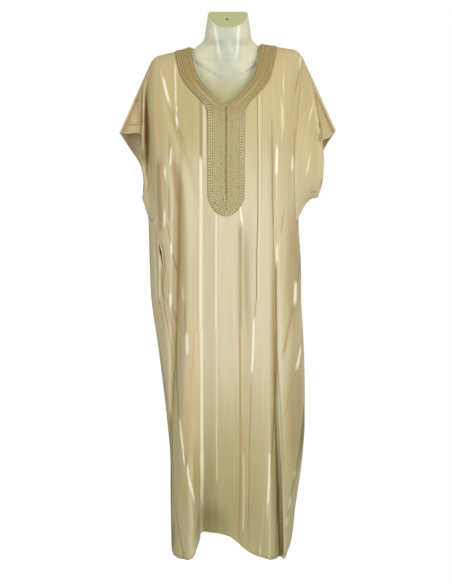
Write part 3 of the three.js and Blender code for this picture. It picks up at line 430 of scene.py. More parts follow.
# Stripes and painted light: glossy satin threads, warm tan and olive ones, and soft wide bands,
# with painted highlights and painted shade among them. Each row is one stretch of a stripe or of
# painted light on the cloth's own lengths, in millimetres: kind, u and height at its top, u and
# height at its foot, width, strength.
FRONT_MARKS = [
    ("satin", -165, 1340, -148, 1281, 7.5, 1), ("satin", -146, 1282, -143, 1267, 3.9, 0.5),
    ("pale", -132, 1377, -129, 1277, 5.0, 0.8), ("satin", -127, 1271, -126, 1256, 4.6, 0.7),
    ("satin", -127, 1247, -124, 1219, 4.4, 1), ("brown", -123, 1219, -109, 1181, 2.5, 0.7),
    ("tan", -109, 1181, -112, 997, 3.2, 0.4), ("tan", -162, 1393, -151, 1326, 20.6, 0.5),
    ("pale", -174, 1362, -162, 1312, 5.8, 0.4), ("brown", -148, 1192, -149, 1136, 2.4, 0.8),
    ("satin", -142, 1163, -146, 1125, 5.5, 1), ("brown", -138, 1125, -136, 1019, 12.9, 0.55),
    ("satin", -162, 1116, -164, 1091, 5.7, 1), ("tan", -182, 1298, -185, 1071, 16.3, 0.55),
    ("brown", -180, 1134, -205, 949, 14.6, 0.75), ("satin", -181, 1006, -188, 964, 5.5, 1),
    ("olive", -159, 1064, -172, 976, 2.6, 0.8), ("brown", -179, 966, -175, 926, 3.6, 0.6),
    ("satin", -173, 918, -174, 891, 5.1, 1), ("brown", -167, 891, -151, 848, 5.7, 0.7),
    ("satin", -182, 788, -182, 755, 7.0, 1), ("brown", -189, 840, -187, 782, 2.5, 0.5),
    ("brown", -174, 755, -155, 705, 7.7, 0.6), ("olive", -64, 1286, -63, 1134, 7.1, 0.85),
    ("pale", -54, 1286, -55, 1125, 6.8, 0.6), ("satin", -64, 1141, -64, 1035, 6.4, 0.85),
    ("satinline", -64, 1046, -66, 697, 7.4, 0.9), ("tanband", -88, 997, -88, 420, 49.2, 0.36),
    ("tan", -74, 970, -75, 695, 5.6, 0.5), ("tan", -84, 906, -87, 451, 3.0, 0.45),
    ("tan", -95, 722, -93, 370, 3.8, 0.5), ("tan", -83, 695, -119, 170, 4.4, 0.6),
    ("grey_shade_band", -42, 1048, -43, 100, 31.5, 0.35), ("tan", -41, 933, -42, 777, 1.9, 0.3),
    ("tan", -34, 933, -34, 777, 1.9, 0.3), ("satin", -125, 804, -122, 767, 11.4, 1),
    ("brown", -114, 763, -110, 688, 5.1, 0.6), ("satin", -103, 684, -102, 633, 5.9, 1),
    ("tan", -99, 633, -98, 560, 3.0, 0.5), ("satinline", -25, 999, -26, 697, 4.8, 0.75),
    ("satinline", -24, 697, -25, 367, 3.6, 0.55), ("pale", -24, 367, -24, 277, 3.4, 0.7),
    ("satin", 36, 1024, 41, 974, 5.2, 1), ("olive", 36, 968, 37, 697, 8.8, 0.75),
    ("ochre", 36, 697, 41, 94, 5.4, 0.85), ("grey_shade_band", 58, 972, 56, 370, 28.8, 0.5),
    ("grey_shade_band", 30, 972, 30, 697, 7.7, 0.3), ("olive", 80, 1299, 83, 775, 3.3, 0.95),
    ("pale", 84, 1299, 88, 775, 4.1, 0.5), ("olive", 81, 775, 76, 728, 3.6, 0.6),
    ("satin", 74, 722, 68, 585, 5.0, 0.95), ("brown", 66, 552, 62, 365, 2.6, 0.7),
    ("brown", 62, 365, 67, 132, 2.6, 0.6), ("olive", 119, 1236, 125, 1033, 3.2, 0.7),
    ("olive", 126, 1033, 136, 871, 2.8, 0.7), ("pale", 130, 1033, 138, 902, 3.6, 0.5),
    ("brown", 119, 1182, 129, 970, 3.2, 0.5), ("satin", 133, 1168, 133, 1098, 5.5, 1),
    ("pale", 133, 1098, 137, 994, 2.5, 0.5), ("olive", 142, 862, 150, 691, 4.6, 0.95),
    ("satin", 143, 914, 145, 871, 6.1, 1), ("olive", 150, 691, 154, 535, 7.7, 0.95),
    ("olive", 154, 535, 134, 359, 9.1, 0.9), ("pale", 151, 511, 148, 361, 5.2, 0.5),
    ("olive", 156, 633, 175, 504, 3.8, 0.9), ("olive", 175, 504, 195, 360, 5.2, 1),
    ("mint", 164, 535, 168, 358, 20.4, 0.75), ("ochreband", 160, 1019, 175, 691, 32.4, 0.45),
    ("brown", 158, 997, 152, 951, 3.6, 0.5), ("ochre", 189, 699, 173, 622, 10.2, 0.75),
    ("ochre", 203, 753, 188, 695, 10.9, 0.7), ("ochre", 215, 568, 190, 453, 5.2, 0.65),
    ("satin", 212, 813, 211, 757, 13.1, 1), ("satin", 241, 635, 224, 583, 12.9, 1),
    ("brown", 251, 862, 223, 815, 18.2, 0.7), ("olive", 265, 666, 254, 635, 11.4, 0.5),
    ("silk", 152, 1349, 151, 1304, 3.4, 0.6), ("silk", 148, 1274, 150, 1218, 4.8, 0.8),
    ("tan", 158, 1398, 158, 1347, 11.4, 0.5), ("pale", 144, 1291, 147, 1187, 3.8, 0.4),
    ("satin", 182, 1143, 181, 1109, 6.3, 1), ("brown", 201, 1355, 190, 1306, 3.2, 0.8),
    ("brown", 188, 1216, 186, 1130, 4.0, 0.6), ("ochreband", 194, 1287, 199, 1030, 16.5, 0.3),
    ("satin", 206, 1399, 203, 1373, 5.1, 0.6), ("olive", -158, 680, -160, 525, 4.4, 0.85),
    ("brown", -157, 527, -139, 448, 7.9, 0.8), ("satin", -128, 446, -118, 367, 6.8, 0.95),
    ("satin", -119, 374, -119, 328, 4.7, 0.9), ("brown", -115, 361, -112, 320, 4.2, 0.6),
    ("satin", -109, 327, -115, 268, 5.1, 1), ("satin", -114, 272, -118, 223, 5.2, 0.95),
    ("tan", -118, 214, -122, 133, 7.4, 0.7), ("tan", -94, 370, -105, 227, 2.6, 0.5),
    ("ochre", -83, 369, -113, 168, 5.6, 0.5), ("satinline", -64, 697, -65, 365, 7.6, 0.95),
    ("satinline", -65, 365, -67, 192, 9.2, 0.95), ("pale", -67, 210, -73, 98, 13.6, 0.6),
    ("brown_shade_band", -43, 361, -45, 81, 29.7, 0.4), ("olive", -29, 212, -27, 104, 7.9, 0.55),
    ("olive", -204, 210, -209, 139, 6.8, 0.9), ("olive", -209, 139, -213, 66, 4.0, 0.9),
    ("pale", 47, 356, 54, 129, 6.5, 0.5), ("satin", 117, 359, 118, 220, 5.2, 1),
    ("satin", 118, 220, 120, 182, 2.6, 0.5), ("tan", 109, 217, 108, 92, 3.8, 0.6),
    ("brown", 128, 361, 122, 302, 5.7, 0.6), ("olive", 195, 360, 218, 42, 10.4, 0.95),
    ("olive", 181, 249, 163, 47, 6.8, 0.95), ("mint", 166, 358, 171, 99, 26.1, 0.6),
    ("pale", 108, 92, 110, 63, 5.2, 0.7), ("leaf", 276, 470, 263, 350, 5.5, 0.9),
    ("leaf", 263, 350, 243, 233, 5.0, 1), ("leaf", 243, 233, 227, 126, 4.0, 0.9),
    ("leaf", 284, 430, 262, 262, 9.0, 0.6), ("leaf", 190, 340, 208, 196, 3.6, 0.7),
    ("leaf", 208, 196, 214, 50, 6.5, 0.7), ("pale", 252, 296, 248, 280, 7.0, 0.8),
    ("pale", 241, 222, 235, 190, 7.0, 0.8), ("pale", 232, 168, 229, 140, 6.0, 0.8),
    ("brown", 252, 262, 246, 240, 5.0, 0.6), ("brown", -204, 926, -198, 902, 3.4, 0.9),
    ("brown", -198, 902, -196, 840, 4.6, 0.8),
]
BACK_MARKS = [
    ("pale", -358, 885, -351, 777, 8.3, 0.9), ("brown", -360, 928, -372, 869, 4.7, 0.8),
    ("brown", -372, 869, -364, 769, 5.0, 0.7), ("pale", -352, 825, -349, 767, 6.7, 0.7),
    ("brown", -363, 688, -358, 612, 3.2, 0.7), ("brown", -366, 769, -366, 684, 3.3, 0.8),
    ("brown", -341, 959, -344, 924, 3.0, 0.9), ("brown", -344, 924, -346, 873, 3.0, 0.9),
    ("brown", -346, 873, -351, 835, 3.0, 0.8), ("brown", -350, 838, -345, 780, 3.4, 0.9),
    ("brown", -345, 780, -351, 742, 3.4, 0.9), ("brown", -351, 742, -347, 688, 3.0, 0.8),
    ("brown", -362, 850, -365, 796, 5.0, 0.7), ("brown", -365, 796, -379, 757, 4.0, 0.7),
    ("pale", -336, 900, -336, 770, 4.6, 0.9), ("leaf", -296, 960, -299, 786, 7.0, 0.75),
    ("leaf", -298, 790, -300, 480, 8.0, 0.8), ("satinline", -66, 1180, -64, 70, 6.0, 0.8),
    ("satinline", -26, 1180, -26, 74, 4.4, 0.7), ("tanband", -92, 1200, -90, 300, 48, 0.5),
    ("tan", -80, 1300, -84, 420, 4.2, 0.5), ("grey_shade_band", 54, 1280, 56, 260, 34, 0.5),
    ("olive", 82, 1330, 80, 560, 3.6, 0.8), ("pale", 87, 1330, 86, 640, 4.0, 0.5),
    ("ochre", 38, 1250, 40, 140, 5.6, 0.6), ("satin", 64, 1010, 66, 880, 6.4, 1),
    ("satin", -118, 690, -116, 560, 7.6, 1), ("satin", 124, 620, 122, 500, 7.0, 1),
    ("brown", 112, 1210, 126, 960, 4.0, 0.6), ("brown", -116, 1190, -128, 930, 4.0, 0.6),
    ("satin", -150, 1120, -148, 1040, 6.0, 1), ("satin", 150, 1150, 148, 1050, 5.4, 1),
    ("satin", 8, 540, 10, 420, 6.0, 0.9), ("ochreband", 176, 1080, 180, 560, 30, 0.5),
    ("ochreband", -190, 980, -192, 520, 28, 0.5), ("olive", 4, 620, 6, 130, 6.0, 0.6),
    ("leaf", -300, 470, -306, 90, 16.0, 0.6),
]


# Material: short calls that add nodes, and a node group that lays one stretch of a stripe or of
# painted light.
def material(name):
    made = bpy.data.materials.new(name)
    made.use_nodes = True
    return made, made.node_tree, made.node_tree.nodes["Principled BSDF"]


def srgb(red, green, blue):
    """A colour in linear light from the 0 to 255 values seen in a picture."""
    return tuple(((c / 255 + 0.055) / 1.055) ** 2.4 if c > 10 else c / 255 / 12.92
                 for c in (red, green, blue)) + (1,)


def add_node(tree, kind, inputs=(), **settings):
    """A node with its settings; inputs pairs a socket with a value or another node's socket."""
    node = tree.nodes.new(kind)
    for name, value in settings.items():
        setattr(node, name, value)
    for socket, value in dict(inputs).items():
        if isinstance(value, bpy.types.NodeSocket):
            tree.links.new(value, node.inputs[socket])
        else:
            node.inputs[socket].default_value = value
    return node


def maths(tree, operation, a, b=0.0):
    return add_node(tree, "ShaderNodeMath", {0: a, 1: b}, operation=operation).outputs[0]


def ramp(tree, value, low, high, to_low=0.0, to_high=1.0):
    """A smooth step from to_low to to_high as value goes from low to high."""
    return add_node(
        tree, "ShaderNodeMapRange",
        {"Value": value, "From Min": low, "From Max": high, "To Min": to_low, "To Max": to_high},
        interpolation_type="SMOOTHSTEP",
    ).outputs[0]


def mix(tree, factor, a, b):
    node = add_node(tree, "ShaderNodeMix", {0: factor, 6: a, 7: b}, data_type="RGBA")
    return node.outputs[2]


def noise(tree, place, scale, detail):
    inputs = {"Vector": place, "Scale": scale, "Detail": detail}
    return add_node(tree, "ShaderNodeTexNoise", inputs).outputs[0]


def emboss(tree, shader, height, strength, distance):
    """Lets a fine pattern of heights catch the light."""
    inputs = {"Strength": strength, "Distance": distance, "Height": height}
    bump = add_node(tree, "ShaderNodeBump", inputs).outputs[0]
    tree.links.new(bump, shader.inputs["Normal"])


def stripe_and_light_mark():
    """Node group that lays one stretch of a stripe or of painted light over a colour and a gloss.
    """
    group = bpy.data.node_groups.new("stripe_and_light_mark", "ShaderNodeTree")
    face = group.interface
    for name, kind in (
        ("Color", "Color"), ("Gloss", "Float"), ("Place", "Vector"), ("Line", "Vector"),
        ("Height", "Float"), ("Half", "Float"), ("Soft", "Float"), ("Middle", "Float"),
        ("Reach", "Float"), ("Fade", "Float"), ("Thread", "Color"), ("Strength", "Float"),
        ("Shine", "Float"),
    ):
        face.new_socket(name=name, in_out="INPUT", socket_type="NodeSocket" + kind)
    face.new_socket(name="Color", in_out="OUTPUT", socket_type="NodeSocketColor")
    face.new_socket(name="Gloss", in_out="OUTPUT", socket_type="NodeSocketFloat")
    given = group.nodes.new("NodeGroupInput").outputs
    made = group.nodes.new("NodeGroupOutput").inputs
    dot = add_node(group, "ShaderNodeVectorMath", {0: given["Place"], 1: given["Line"]},
                   operation="DOT_PRODUCT").outputs["Value"]
    off = maths(group, "ABSOLUTE", dot)
    across = ramp(group, off, maths(group, "ADD", given["Half"], given["Soft"]),
                  maths(group, "SUBTRACT", given["Half"], given["Soft"]))
    up = maths(group, "ABSOLUTE", maths(group, "SUBTRACT", given["Height"], given["Middle"]))
    along = ramp(group, up, maths(group, "ADD", given["Reach"], given["Fade"]),
                 maths(group, "SUBTRACT", given["Reach"], given["Fade"]))
    weight = maths(group, "MULTIPLY", maths(group, "MULTIPLY", across, along), given["Strength"])
    group.links.new(mix(group, weight, given["Color"], given["Thread"]), made["Color"])
    gloss = add_node(group, "ShaderNodeMix", {0: weight, 2: given["Gloss"], 3: given["Shine"]})
    group.links.new(gloss.outputs[0], made["Gloss"])
    return group


STRIPE_AND_LIGHT_MARK = stripe_and_light_mark()
# how far the ends of a stretch fade out, in metres
FADES = {"satin": 0.012, "pale": 0.012, "tanband": 0.1, "ochreband": 0.1, "grey_shade_band": 0.1,
         "brown_shade_band": 0.1}
SHORT_FADE = 0.02
SHINY = ("satin", "satinline", "silk", "pale")
PAINTED_FROM = 7.0  # a dull stripe this wide is painted on the points, a narrower one by nodes
# kind: thread colour or painted light, gloss, how soft its edge is, and how far it stands out
# from the cloth
MARK_KINDS = {
    # satin, satinline, silk and pale: glossy stripes of the cloth whose near-white colour is
    # partly painted highlight where folds catch the light; sheen is a painted highlight
    "satin": (srgb(250, 243, 220), 0.75, 0.5, 1.0),
    "satinline": (srgb(246, 238, 206), 0.7, 0.5, 0.3),
    "silk": (srgb(240, 226, 176), 0.6, 0.6, 0.6),
    # painted shade: dark green lines in creases and along the cloth's edges
    "leaf": (srgb(120, 125, 68), 0.0, 0.8, -0.9),
    "sheen": (srgb(246, 248, 238), 0.0, 0.9, 0.0),
    "pale": (srgb(234, 226, 194), 0.35, 0.7, 0.4),
    "mint": (srgb(205, 207, 172), 0.1, 0.9, 0.0),
    "tan": (srgb(206, 180, 130), 0.1, 0.7, 0.0),
    # brown and olive: darker stripes of the cloth, and partly painted shade along valleys and
    # creases
    "brown": (srgb(158, 124, 78), 0.0, 0.9, -1.8),
    "olive": (srgb(150, 138, 90), 0.0, 0.7, -0.7),
    "ochre": (srgb(180, 150, 90), 0.1, 0.7, -0.4),
    "tanband": (srgb(220, 196, 146), 0.15, 1.0, 0.0),
    "ochreband": (srgb(206, 184, 128), 0.1, 1.0, -1.0),
    # painted shade: wide soft grey and brown bands over shallow hollows of the cloth
    "grey_shade_band": (srgb(190, 178, 142), 0.0, 1.0, -0.8),
    "brown_shade_band": (srgb(158, 134, 90), 0.0, 1.0, -0.8),
}


def is_painted(kind, width):
    """Whether a stripe is a colour on the cloth's points instead of nodes."""
    return kind not in SHINY and width >= PAINTED_FROM


# the cloth's ground in painted light: lit pale in the middle, golden shade at the sides, olive
# shade low down
PALE_LIT_CLOTH = srgb(214, 203, 167)
GOLDEN_SHADE_CLOTH = srgb(194, 176, 124)
OLIVE_SHADE_CLOTH = srgb(172, 164, 110)
# a streak colour of the cloth, and a painted highlight for the ridges
TAN_STREAK, RIDGE_HIGHLIGHT = srgb(200, 176, 126), srgb(240, 230, 202)
# painted shade for the valleys: golden high up, olive low down
VALLEY_SHADE_GOLDEN, VALLEY_SHADE_OLIVE = srgb(170, 138, 84), srgb(138, 132, 78)
HEM_THREAD, HEM_EDGE = srgb(132, 114, 66), srgb(236, 226, 190)
HEM_STITCH, HEM_STITCH_HALF = 0.0065, 0.0014
HEM_EDGE_FROM, HEM_EDGE_TO = 0.0022, 0.0006
MIDDLE_X, SIDE_REACH = 0.02, (0.2, 0.08)
CHEST_HEIGHTS, KNEE_HEIGHTS = (1.26, 1.0), (0.34, 0.66)
SKIRT_HEIGHTS, VALLEY_HEIGHTS = (0.62, 0.12), (0.62, 0.36)
# how dense threads and wide streaks are across and along the cloth, for each metre
THREAD_GRAIN, STREAK_GRAIN = (420.0, 5.0), (60.0, 1.4)


def lay_stripe(tree, colour, gloss, place, height, mark):
    """One stretch of a stripe or of painted light, by nodes, over what is there already."""
    kind, u0, v0, u1, v1, width, strength = mark
    thread, shine, soft, _ = MARK_KINDS[kind]
    slope = (u1 - u0) / (v1 - v0) if abs(v1 - v0) > 1 else 0.0
    half = width / 2 * MM
    reach = max(abs(v1 - v0) / 2, 1) * MM
    made = add_node(tree, "ShaderNodeGroup", {
        "Color": colour, "Gloss": gloss, "Place": place, "Height": height,
        "Line": (1.0, -slope, -(u0 - slope * v0) * MM), "Half": half,
        "Soft": half * soft, "Middle": (v0 + v1) / 2 * MM, "Reach": reach,
        "Fade": min(reach, FADES.get(kind, SHORT_FADE)),
        "Thread": thread, "Strength": strength, "Shine": shine,
    }, node_tree=STRIPE_AND_LIGHT_MARK).outputs
    return made["Color"], made["Gloss"]


def cloth(name, marks):
    """The striped cloth with its own marks, on the piece's cloth lengths, hollows and tints."""
    made, tree, shader = material(name)
    uv = add_node(tree, "ShaderNodeUVMap", uv_map="cloth").outputs[0]
    parts = add_node(tree, "ShaderNodeSeparateXYZ", {0: uv}).outputs
    place = add_node(tree, "ShaderNodeCombineXYZ", {0: parts[0], 1: parts[1], 2: 1.0}).outputs[0]
    threads = add_node(tree, "ShaderNodeCombineXYZ", {
        i: maths(tree, "MULTIPLY", parts[i], THREAD_GRAIN[i]) for i in (0, 1)
    }).outputs[0]
    fine = noise(tree, threads, 1.0, 2.0)
    streaks = add_node(tree, "ShaderNodeCombineXYZ", {
        i: maths(tree, "MULTIPLY", parts[i], STREAK_GRAIN[i]) for i in (0, 1)
    }).outputs[0]
    wide = noise(tree, streaks, 1.0, 3.0)
    spot = add_node(tree, "ShaderNodeTexCoord").outputs["Object"]
    where = add_node(tree, "ShaderNodeSeparateXYZ", {0: spot}).outputs
    # painted light: golden shade at shoulders and sides, a lit pale middle, olive shade to the hem
    from_middle = maths(tree, "ABSOLUTE", maths(tree, "SUBTRACT", where[0], MIDDLE_X))
    below_chest = ramp(tree, where[2], *CHEST_HEIGHTS)
    above_knee = ramp(tree, where[2], *KNEE_HEIGHTS)
    paler = maths(tree, "MULTIPLY", below_chest, above_knee)
    beside = ramp(tree, from_middle, *SIDE_REACH, 0.35, 1.0)
    paler = maths(tree, "MULTIPLY", paler, beside)
    base = mix(tree, paler, GOLDEN_SHADE_CLOTH, PALE_LIT_CLOTH)
    base = mix(tree, ramp(tree, where[2], *SKIRT_HEIGHTS, 0.0, 0.66), base, OLIVE_SHADE_CLOTH)
    light = mix(tree, 0.08, base, (1, 1, 1, 1))
    base = mix(tree, ramp(tree, fine, 0.35, 0.65), base, light)
    base = mix(tree, ramp(tree, wide, 0.52, 0.7, 0.0, 0.4), base, TAN_STREAK)
    tint = add_node(tree, "ShaderNodeAttribute", attribute_name="tint").outputs
    colour = mix(tree, tint["Alpha"], base, tint["Color"])
    gloss = add_node(tree, "ShaderNodeValue").outputs[0]
    gloss.default_value = 0.0
    for mark in marks:
        if not is_painted(mark[0], mark[5]):
            colour, gloss = lay_stripe(tree, colour, gloss, place, parts[1], mark)
    # painted shade in the valleys, painted highlight on the ridges, the line of stitches and the
    # bright hem edge
    hollow = add_node(tree, "ShaderNodeAttribute", attribute_name="hollow").outputs["Fac"]
    dull = maths(tree, "SUBTRACT", 1.0, gloss)
    valley = mix(tree, ramp(tree, where[2], *VALLEY_HEIGHTS), VALLEY_SHADE_GOLDEN, VALLEY_SHADE_OLIVE)
    valley_shade = maths(tree, "MULTIPLY", ramp(tree, hollow, 0.12, 1.0, 0.0, 0.7), dull)
    colour = mix(tree, valley_shade, colour, valley)
    colour = mix(tree, ramp(tree, hollow, -0.1, -1.0, 0.0, 0.25), colour, RIDGE_HIGHLIGHT)
    from_hem = add_node(tree, "ShaderNodeAttribute", attribute_name="from_hem").outputs["Fac"]
    off_stitch = maths(tree, "ABSOLUTE", maths(tree, "SUBTRACT", from_hem, HEM_STITCH))
    stitch = ramp(tree, off_stitch, HEM_STITCH_HALF, 0.0, 0.0, 0.55)
    colour = mix(tree, stitch, colour, HEM_THREAD)
    edge = ramp(tree, from_hem, HEM_EDGE_FROM, HEM_EDGE_TO, 0.0, 0.5)
    colour = mix(tree, edge, colour, HEM_EDGE)
    tree.links.new(colour, shader.inputs["Base Color"])
    tree.links.new(ramp(tree, gloss, 0.0, 1.0, 0.62, 0.3), shader.inputs["Roughness"])
    shader.inputs["Sheen Weight"].default_value = 0.04
    shader.inputs["Specular IOR Level"].default_value = 0.45
    emboss(tree, shader, fine, 0.25, 0.0006)
    return made


# Relief: threads and creases lift or sink the cloth, slow waves run down it, and colours of wide
# bands and of soft ovals of painted shade and light lie on its points.
NO_RELIEF_UNDER = 4
END_STEP, END_SHIFT = 0.15, 0.8
RELIEF_SPREAD, LEAST_SPREAD = 0.9, 6


def mark_relief(marks, u, v):
    """How far the marks' threads and creases lift or sink the cloth, in millimetres."""
    total = np.zeros_like(u)
    for kind, u0, v0, u1, v1, width, strength in marks:
        height = MARK_KINDS[kind][3]
        if height == 0 or abs(v1 - v0) < NO_RELIEF_UNDER:
            continue
        t = (v0 - v) / (v0 - v1)
        reach = np.clip(t, 0, 1)
        off = u - (u0 + (u1 - u0) * reach)
        ends = smooth(t / END_STEP + END_SHIFT) * smooth((1 - t) / END_STEP + END_SHIFT)
        spread = max(width * RELIEF_SPREAD, LEAST_SPREAD)
        total += height * strength * np.exp(-((off / spread) ** 2)) * ends
    return total


WAVE_SLANT = 0.03
# each wave: height, length, phase, and how far it wanders over what length, with its phase
WAVES = ((1.1, 23, 0, 0.6, 190, 0), (0.8, 13.5, 1.9, 0.9, 260, 1), (0.5, 7.5, 0.4, 1, 120, 2))


def waves(u, v, size):
    """Slow, slightly slanting undulations of hanging cloth."""
    slant = u + WAVE_SLANT * v
    return size * sum(
        height * np.sin(slant / length + phase + wander * np.sin(v / over + turn))
        for height, length, phase, wander, over, turn in WAVES
    )


def blurred(grid, rounds, closed):
    """The grid with its level rows smoothed; an open row runs straight on past its ends."""
    made = grid.copy()
    for _ in range(rounds):
        before, after = made[:, -1:], made[:, :1]
        if not closed:
            before = 2 * made[:, :1] - made[:, 1:2]
            after = 2 * made[:, -1:] - made[:, -2:-1]
        wide = np.concatenate([before, made, after], axis=1)
        made = (wide[:, :-2] + 2 * wide[:, 1:-1] + wide[:, 2:]) / 4
    return made


HOLLOW_DEPTH = 5.0


def hollows(grid, normals, closed=False, rounds=24):
    """1 in the deepest valleys of the cloth and -1 on its sharpest ridges."""
    off = np.einsum("rck,rck->rc", blurred(grid, rounds, closed) - grid, normals)
    return np.clip(off / HOLLOW_DEPTH, -1, 1)


# painted shade colours: green at the edges and in the recess, brown in valleys and at a slit
GREEN_SHADE, BROWN_SHADE = (88, 96, 42), (144, 112, 62)
SHADE_TO_Y, SHADE_FADE = 30, 60  # the ovals fade out towards the back of the garment
OVAL_EDGE = 0.7  # the share of an oval over which it fades
NO_COVER, THIN_COVER = 1e-6, 1e-4


def tints(grid, uv, marks, spots):
    """Wide stripes, and ovals of painted shade and light: red, green, blue and cover at each
    point.
    """
    made = np.zeros(grid.shape[:2] + (4,))
    made[:, :, :3] = srgb(*BROWN_SHADE)[:3]

    def lay(weight, colour):
        covered = made[:, :, 3:] * (1 - weight)
        total = covered + weight
        mixed = made[:, :, :3] * covered + np.array(colour[:3]) * weight
        mixed = mixed / np.maximum(total, NO_COVER)
        made[:, :, :3] = np.where(total > THIN_COVER, mixed, made[:, :, :3])
        made[:, :, 3:] = total

    for kind, u0, v0, u1, v1, width, strength in marks:
        if not is_painted(kind, width):
            continue
        thread, _, soft, _ = MARK_KINDS[kind]
        t = np.clip((v0 - uv[:, :, 1]) / (v0 - v1), -1, 2)
        off = np.abs(uv[:, :, 0] - (u0 + (u1 - u0) * t)) / (width / 2)
        fade = min(abs(v1 - v0) / 2, FADES.get(kind, SHORT_FADE) / MM)
        inside = np.minimum(v0 - uv[:, :, 1], uv[:, :, 1] - v1)
        across = smooth((1 + soft - off) / (2 * soft))
        weight = across * smooth((inside + fade) / (2 * fade)) * strength
        lay(weight[:, :, None], thread)
    for x, z, half_x, half_z, lean, tint, strength in spots:
        up = grid[:, :, 2] - z
        across = (grid[:, :, 0] - x - lean * up) / half_x
        weight = smooth((1 - np.hypot(across, up / half_z)) / OVAL_EDGE) * strength
        weight *= smooth((SHADE_TO_Y - grid[:, :, 1]) / SHADE_FADE)
        lay(weight[:, :, None], srgb(*tint))
    return made


# The two panels. The soft patches of painted shade at their sides and hem, and two of painted
# light on the left, are ovals: middle x and height, half width and half height, lean, colour,
# strength.
CLOTH_WALL = 1.2
WAVE_SIZE, WAVES_FROM, WAVES_FADE = 0.9, 1330, 120
EDGE_COLUMNS = 8
SEAM_FLAT_FROM, SEAM_FLAT_FADE = 1425, 40
# under the embroidery the cloth lies flat
FLAT_HALF, FLAT_SIDE_FADE, FLAT_FOOT, FLAT_FOOT_FADE = 66, 14, 978, 16
EDGE_SPOTS = [
    (-160, 250, 20, 240, 0, GREEN_SHADE, 0.95), (-152, 90, 15, 80, 0.12, GREEN_SHADE, 0.8),
    (-74, 120, 12, 70, 0, GREEN_SHADE, 0.5), (-34, 120, 66, 110, 0, (134, 126, 72), 0.65),
    (-166, 868, 4, 46, -0.12, BROWN_SHADE, 0.6), (184, 480, 30, 260, 0, (150, 128, 76), 0.5),
    (178, 840, 28, 240, 0, (164, 140, 88), 0.55),
    (-190, 1180, 20, 130, 0, (214, 196, 150), 0.5),
    (-176, 800, 18, 200, 0.08, (206, 188, 142), 0.45),
    (-120, 960, 9, 300, 0.03, BROWN_SHADE, 0.4), (-100, 1250, 50, 130, 0, (176, 156, 104), 0.4),
    (208, 400, 10, 110, 0.1, GREEN_SHADE, 0.6),
]
front_cloth_finish = cloth("striped_cloth_front", FRONT_MARKS)
back_cloth_finish = cloth("striped_cloth_back", BACK_MARKS)
panels = {}
for name, is_front in (("front", True), ("back", False)):
    marks = FRONT_MARKS if is_front else BACK_MARKS
    out = 1 if is_front else -1
    grid, u = panel_grid(is_front)
    uv = np.stack([u, grid[:, :, 2]], axis=2)
    v = uv[:, :, 1]
    free = smooth((WAVES_FROM - v) / WAVES_FADE)
    columns = np.arange(2 * HALF_CELLS + 1)
    at_edge = smooth(np.minimum(columns, columns[::-1]) / EDGE_COLUMNS)
    relief = mark_relief(marks, u, v) + waves(u, v, WAVE_SIZE) * free
    relief *= at_edge[None] * smooth((SEAM_FLAT_FROM - v) / SEAM_FLAT_FADE)
    if is_front:
        beside = smooth((FLAT_HALF - np.abs(u)) / FLAT_SIDE_FADE)
        relief *= 1 - beside * smooth((v - FLAT_FOOT) / FLAT_FOOT_FADE)
    lifted = grid + grid_normals(grid, out) * relief[:, :, None]
    panels[name] = grid
    hem = blend(HEM_FRONT if is_front else HEM_BACK, "x", grid[:, :, 0], "z")
    from_hem = (grid[:, :, 2] - hem) * MM
    obj = grid_object(name + "_cloth", lifted, uv, out, CLOTH_WALL, attributes={
        "hollow": hollows(lifted, grid_normals(lifted, out)), "from_hem": from_hem,
        "tint": tints(lifted, uv, marks, EDGE_SPOTS),
    })
    obj.data.materials.append(front_cloth_finish if is_front else back_cloth_finish)
    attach(obj, "root")
    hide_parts(name + "_panel")
    width = round(float(np.ptp(u, axis=1).max()) * MM, 3)


# ---------------------------------------------------------------- embroidered band
# A dense embroidered band edges the neck and runs down the chest to a round foot: khaki ground
# with slanting stitches, a plait along the neck edge and a wider plait along the outer edge.
# It is sewn flat on the cloth, in two halves that meet at the front slit, and one at the back.
SLIT_HALF = 0.45
BAND_INSET, BAND_WALL, BAND_LIFT = 2, 1.0, 1.9
INSET_BELOW, INSET_FADE = 6, 20
BAND_CELLS = 14
STIFF_LIFT, STIFF_FROM, STIFF_TO = 1.2, 1120, 1330
PLAIT_END_AT = 10.35
BACK_BAND_WIDTH, BAND_SEAM_GAP = 42, 3
TURN_ROUNDS = 12


def band_rays(sign, at):
    """Inner and outer ends of the level lines across one half of the band, as x and z."""
    ends = []
    for edge in ("in", "out"):
        x = blend(BAND_EDGES, "at", at, edge + "_x") + SLIT_HALF
        z = blend(BAND_EDGES, "at", at, edge + "_z")
        ends.append(np.stack([sign * x, z + neck_tilt(at, sign * x)], axis=-1))
    return ends


def back_rays(turn):
    """The same round the back of the neck, from the right shoulder seam to the left one."""
    ends = []
    for distance in (0, BACK_BAND_WIDTH):
        x = (NECK_HALF + distance) * np.cos(turn)
        inside = np.maximum(0, NECK_HALF - np.abs(x))
        seam = shoulder_z(x) - BAND_SEAM_GAP - SHOULDER_SLOPE * inside
        ends.append(np.stack([x, seam - (BACK_NECK_DROP + distance) * np.sin(turn)], axis=-1))
    return ends


def offset_line(line, distance):
    """A flat line moved sideways, to the left of its own direction."""
    step = np.gradient(line, axis=0)
    step /= np.linalg.norm(step, axis=1)[:, None]
    for _ in range(TURN_ROUNDS):
        step[1:-1] = (step[:-2] + 2 * step[1:-1] + step[2:]) / 4
    return line + distance * np.stack([-step[:, 1], step[:, 0]], axis=1)


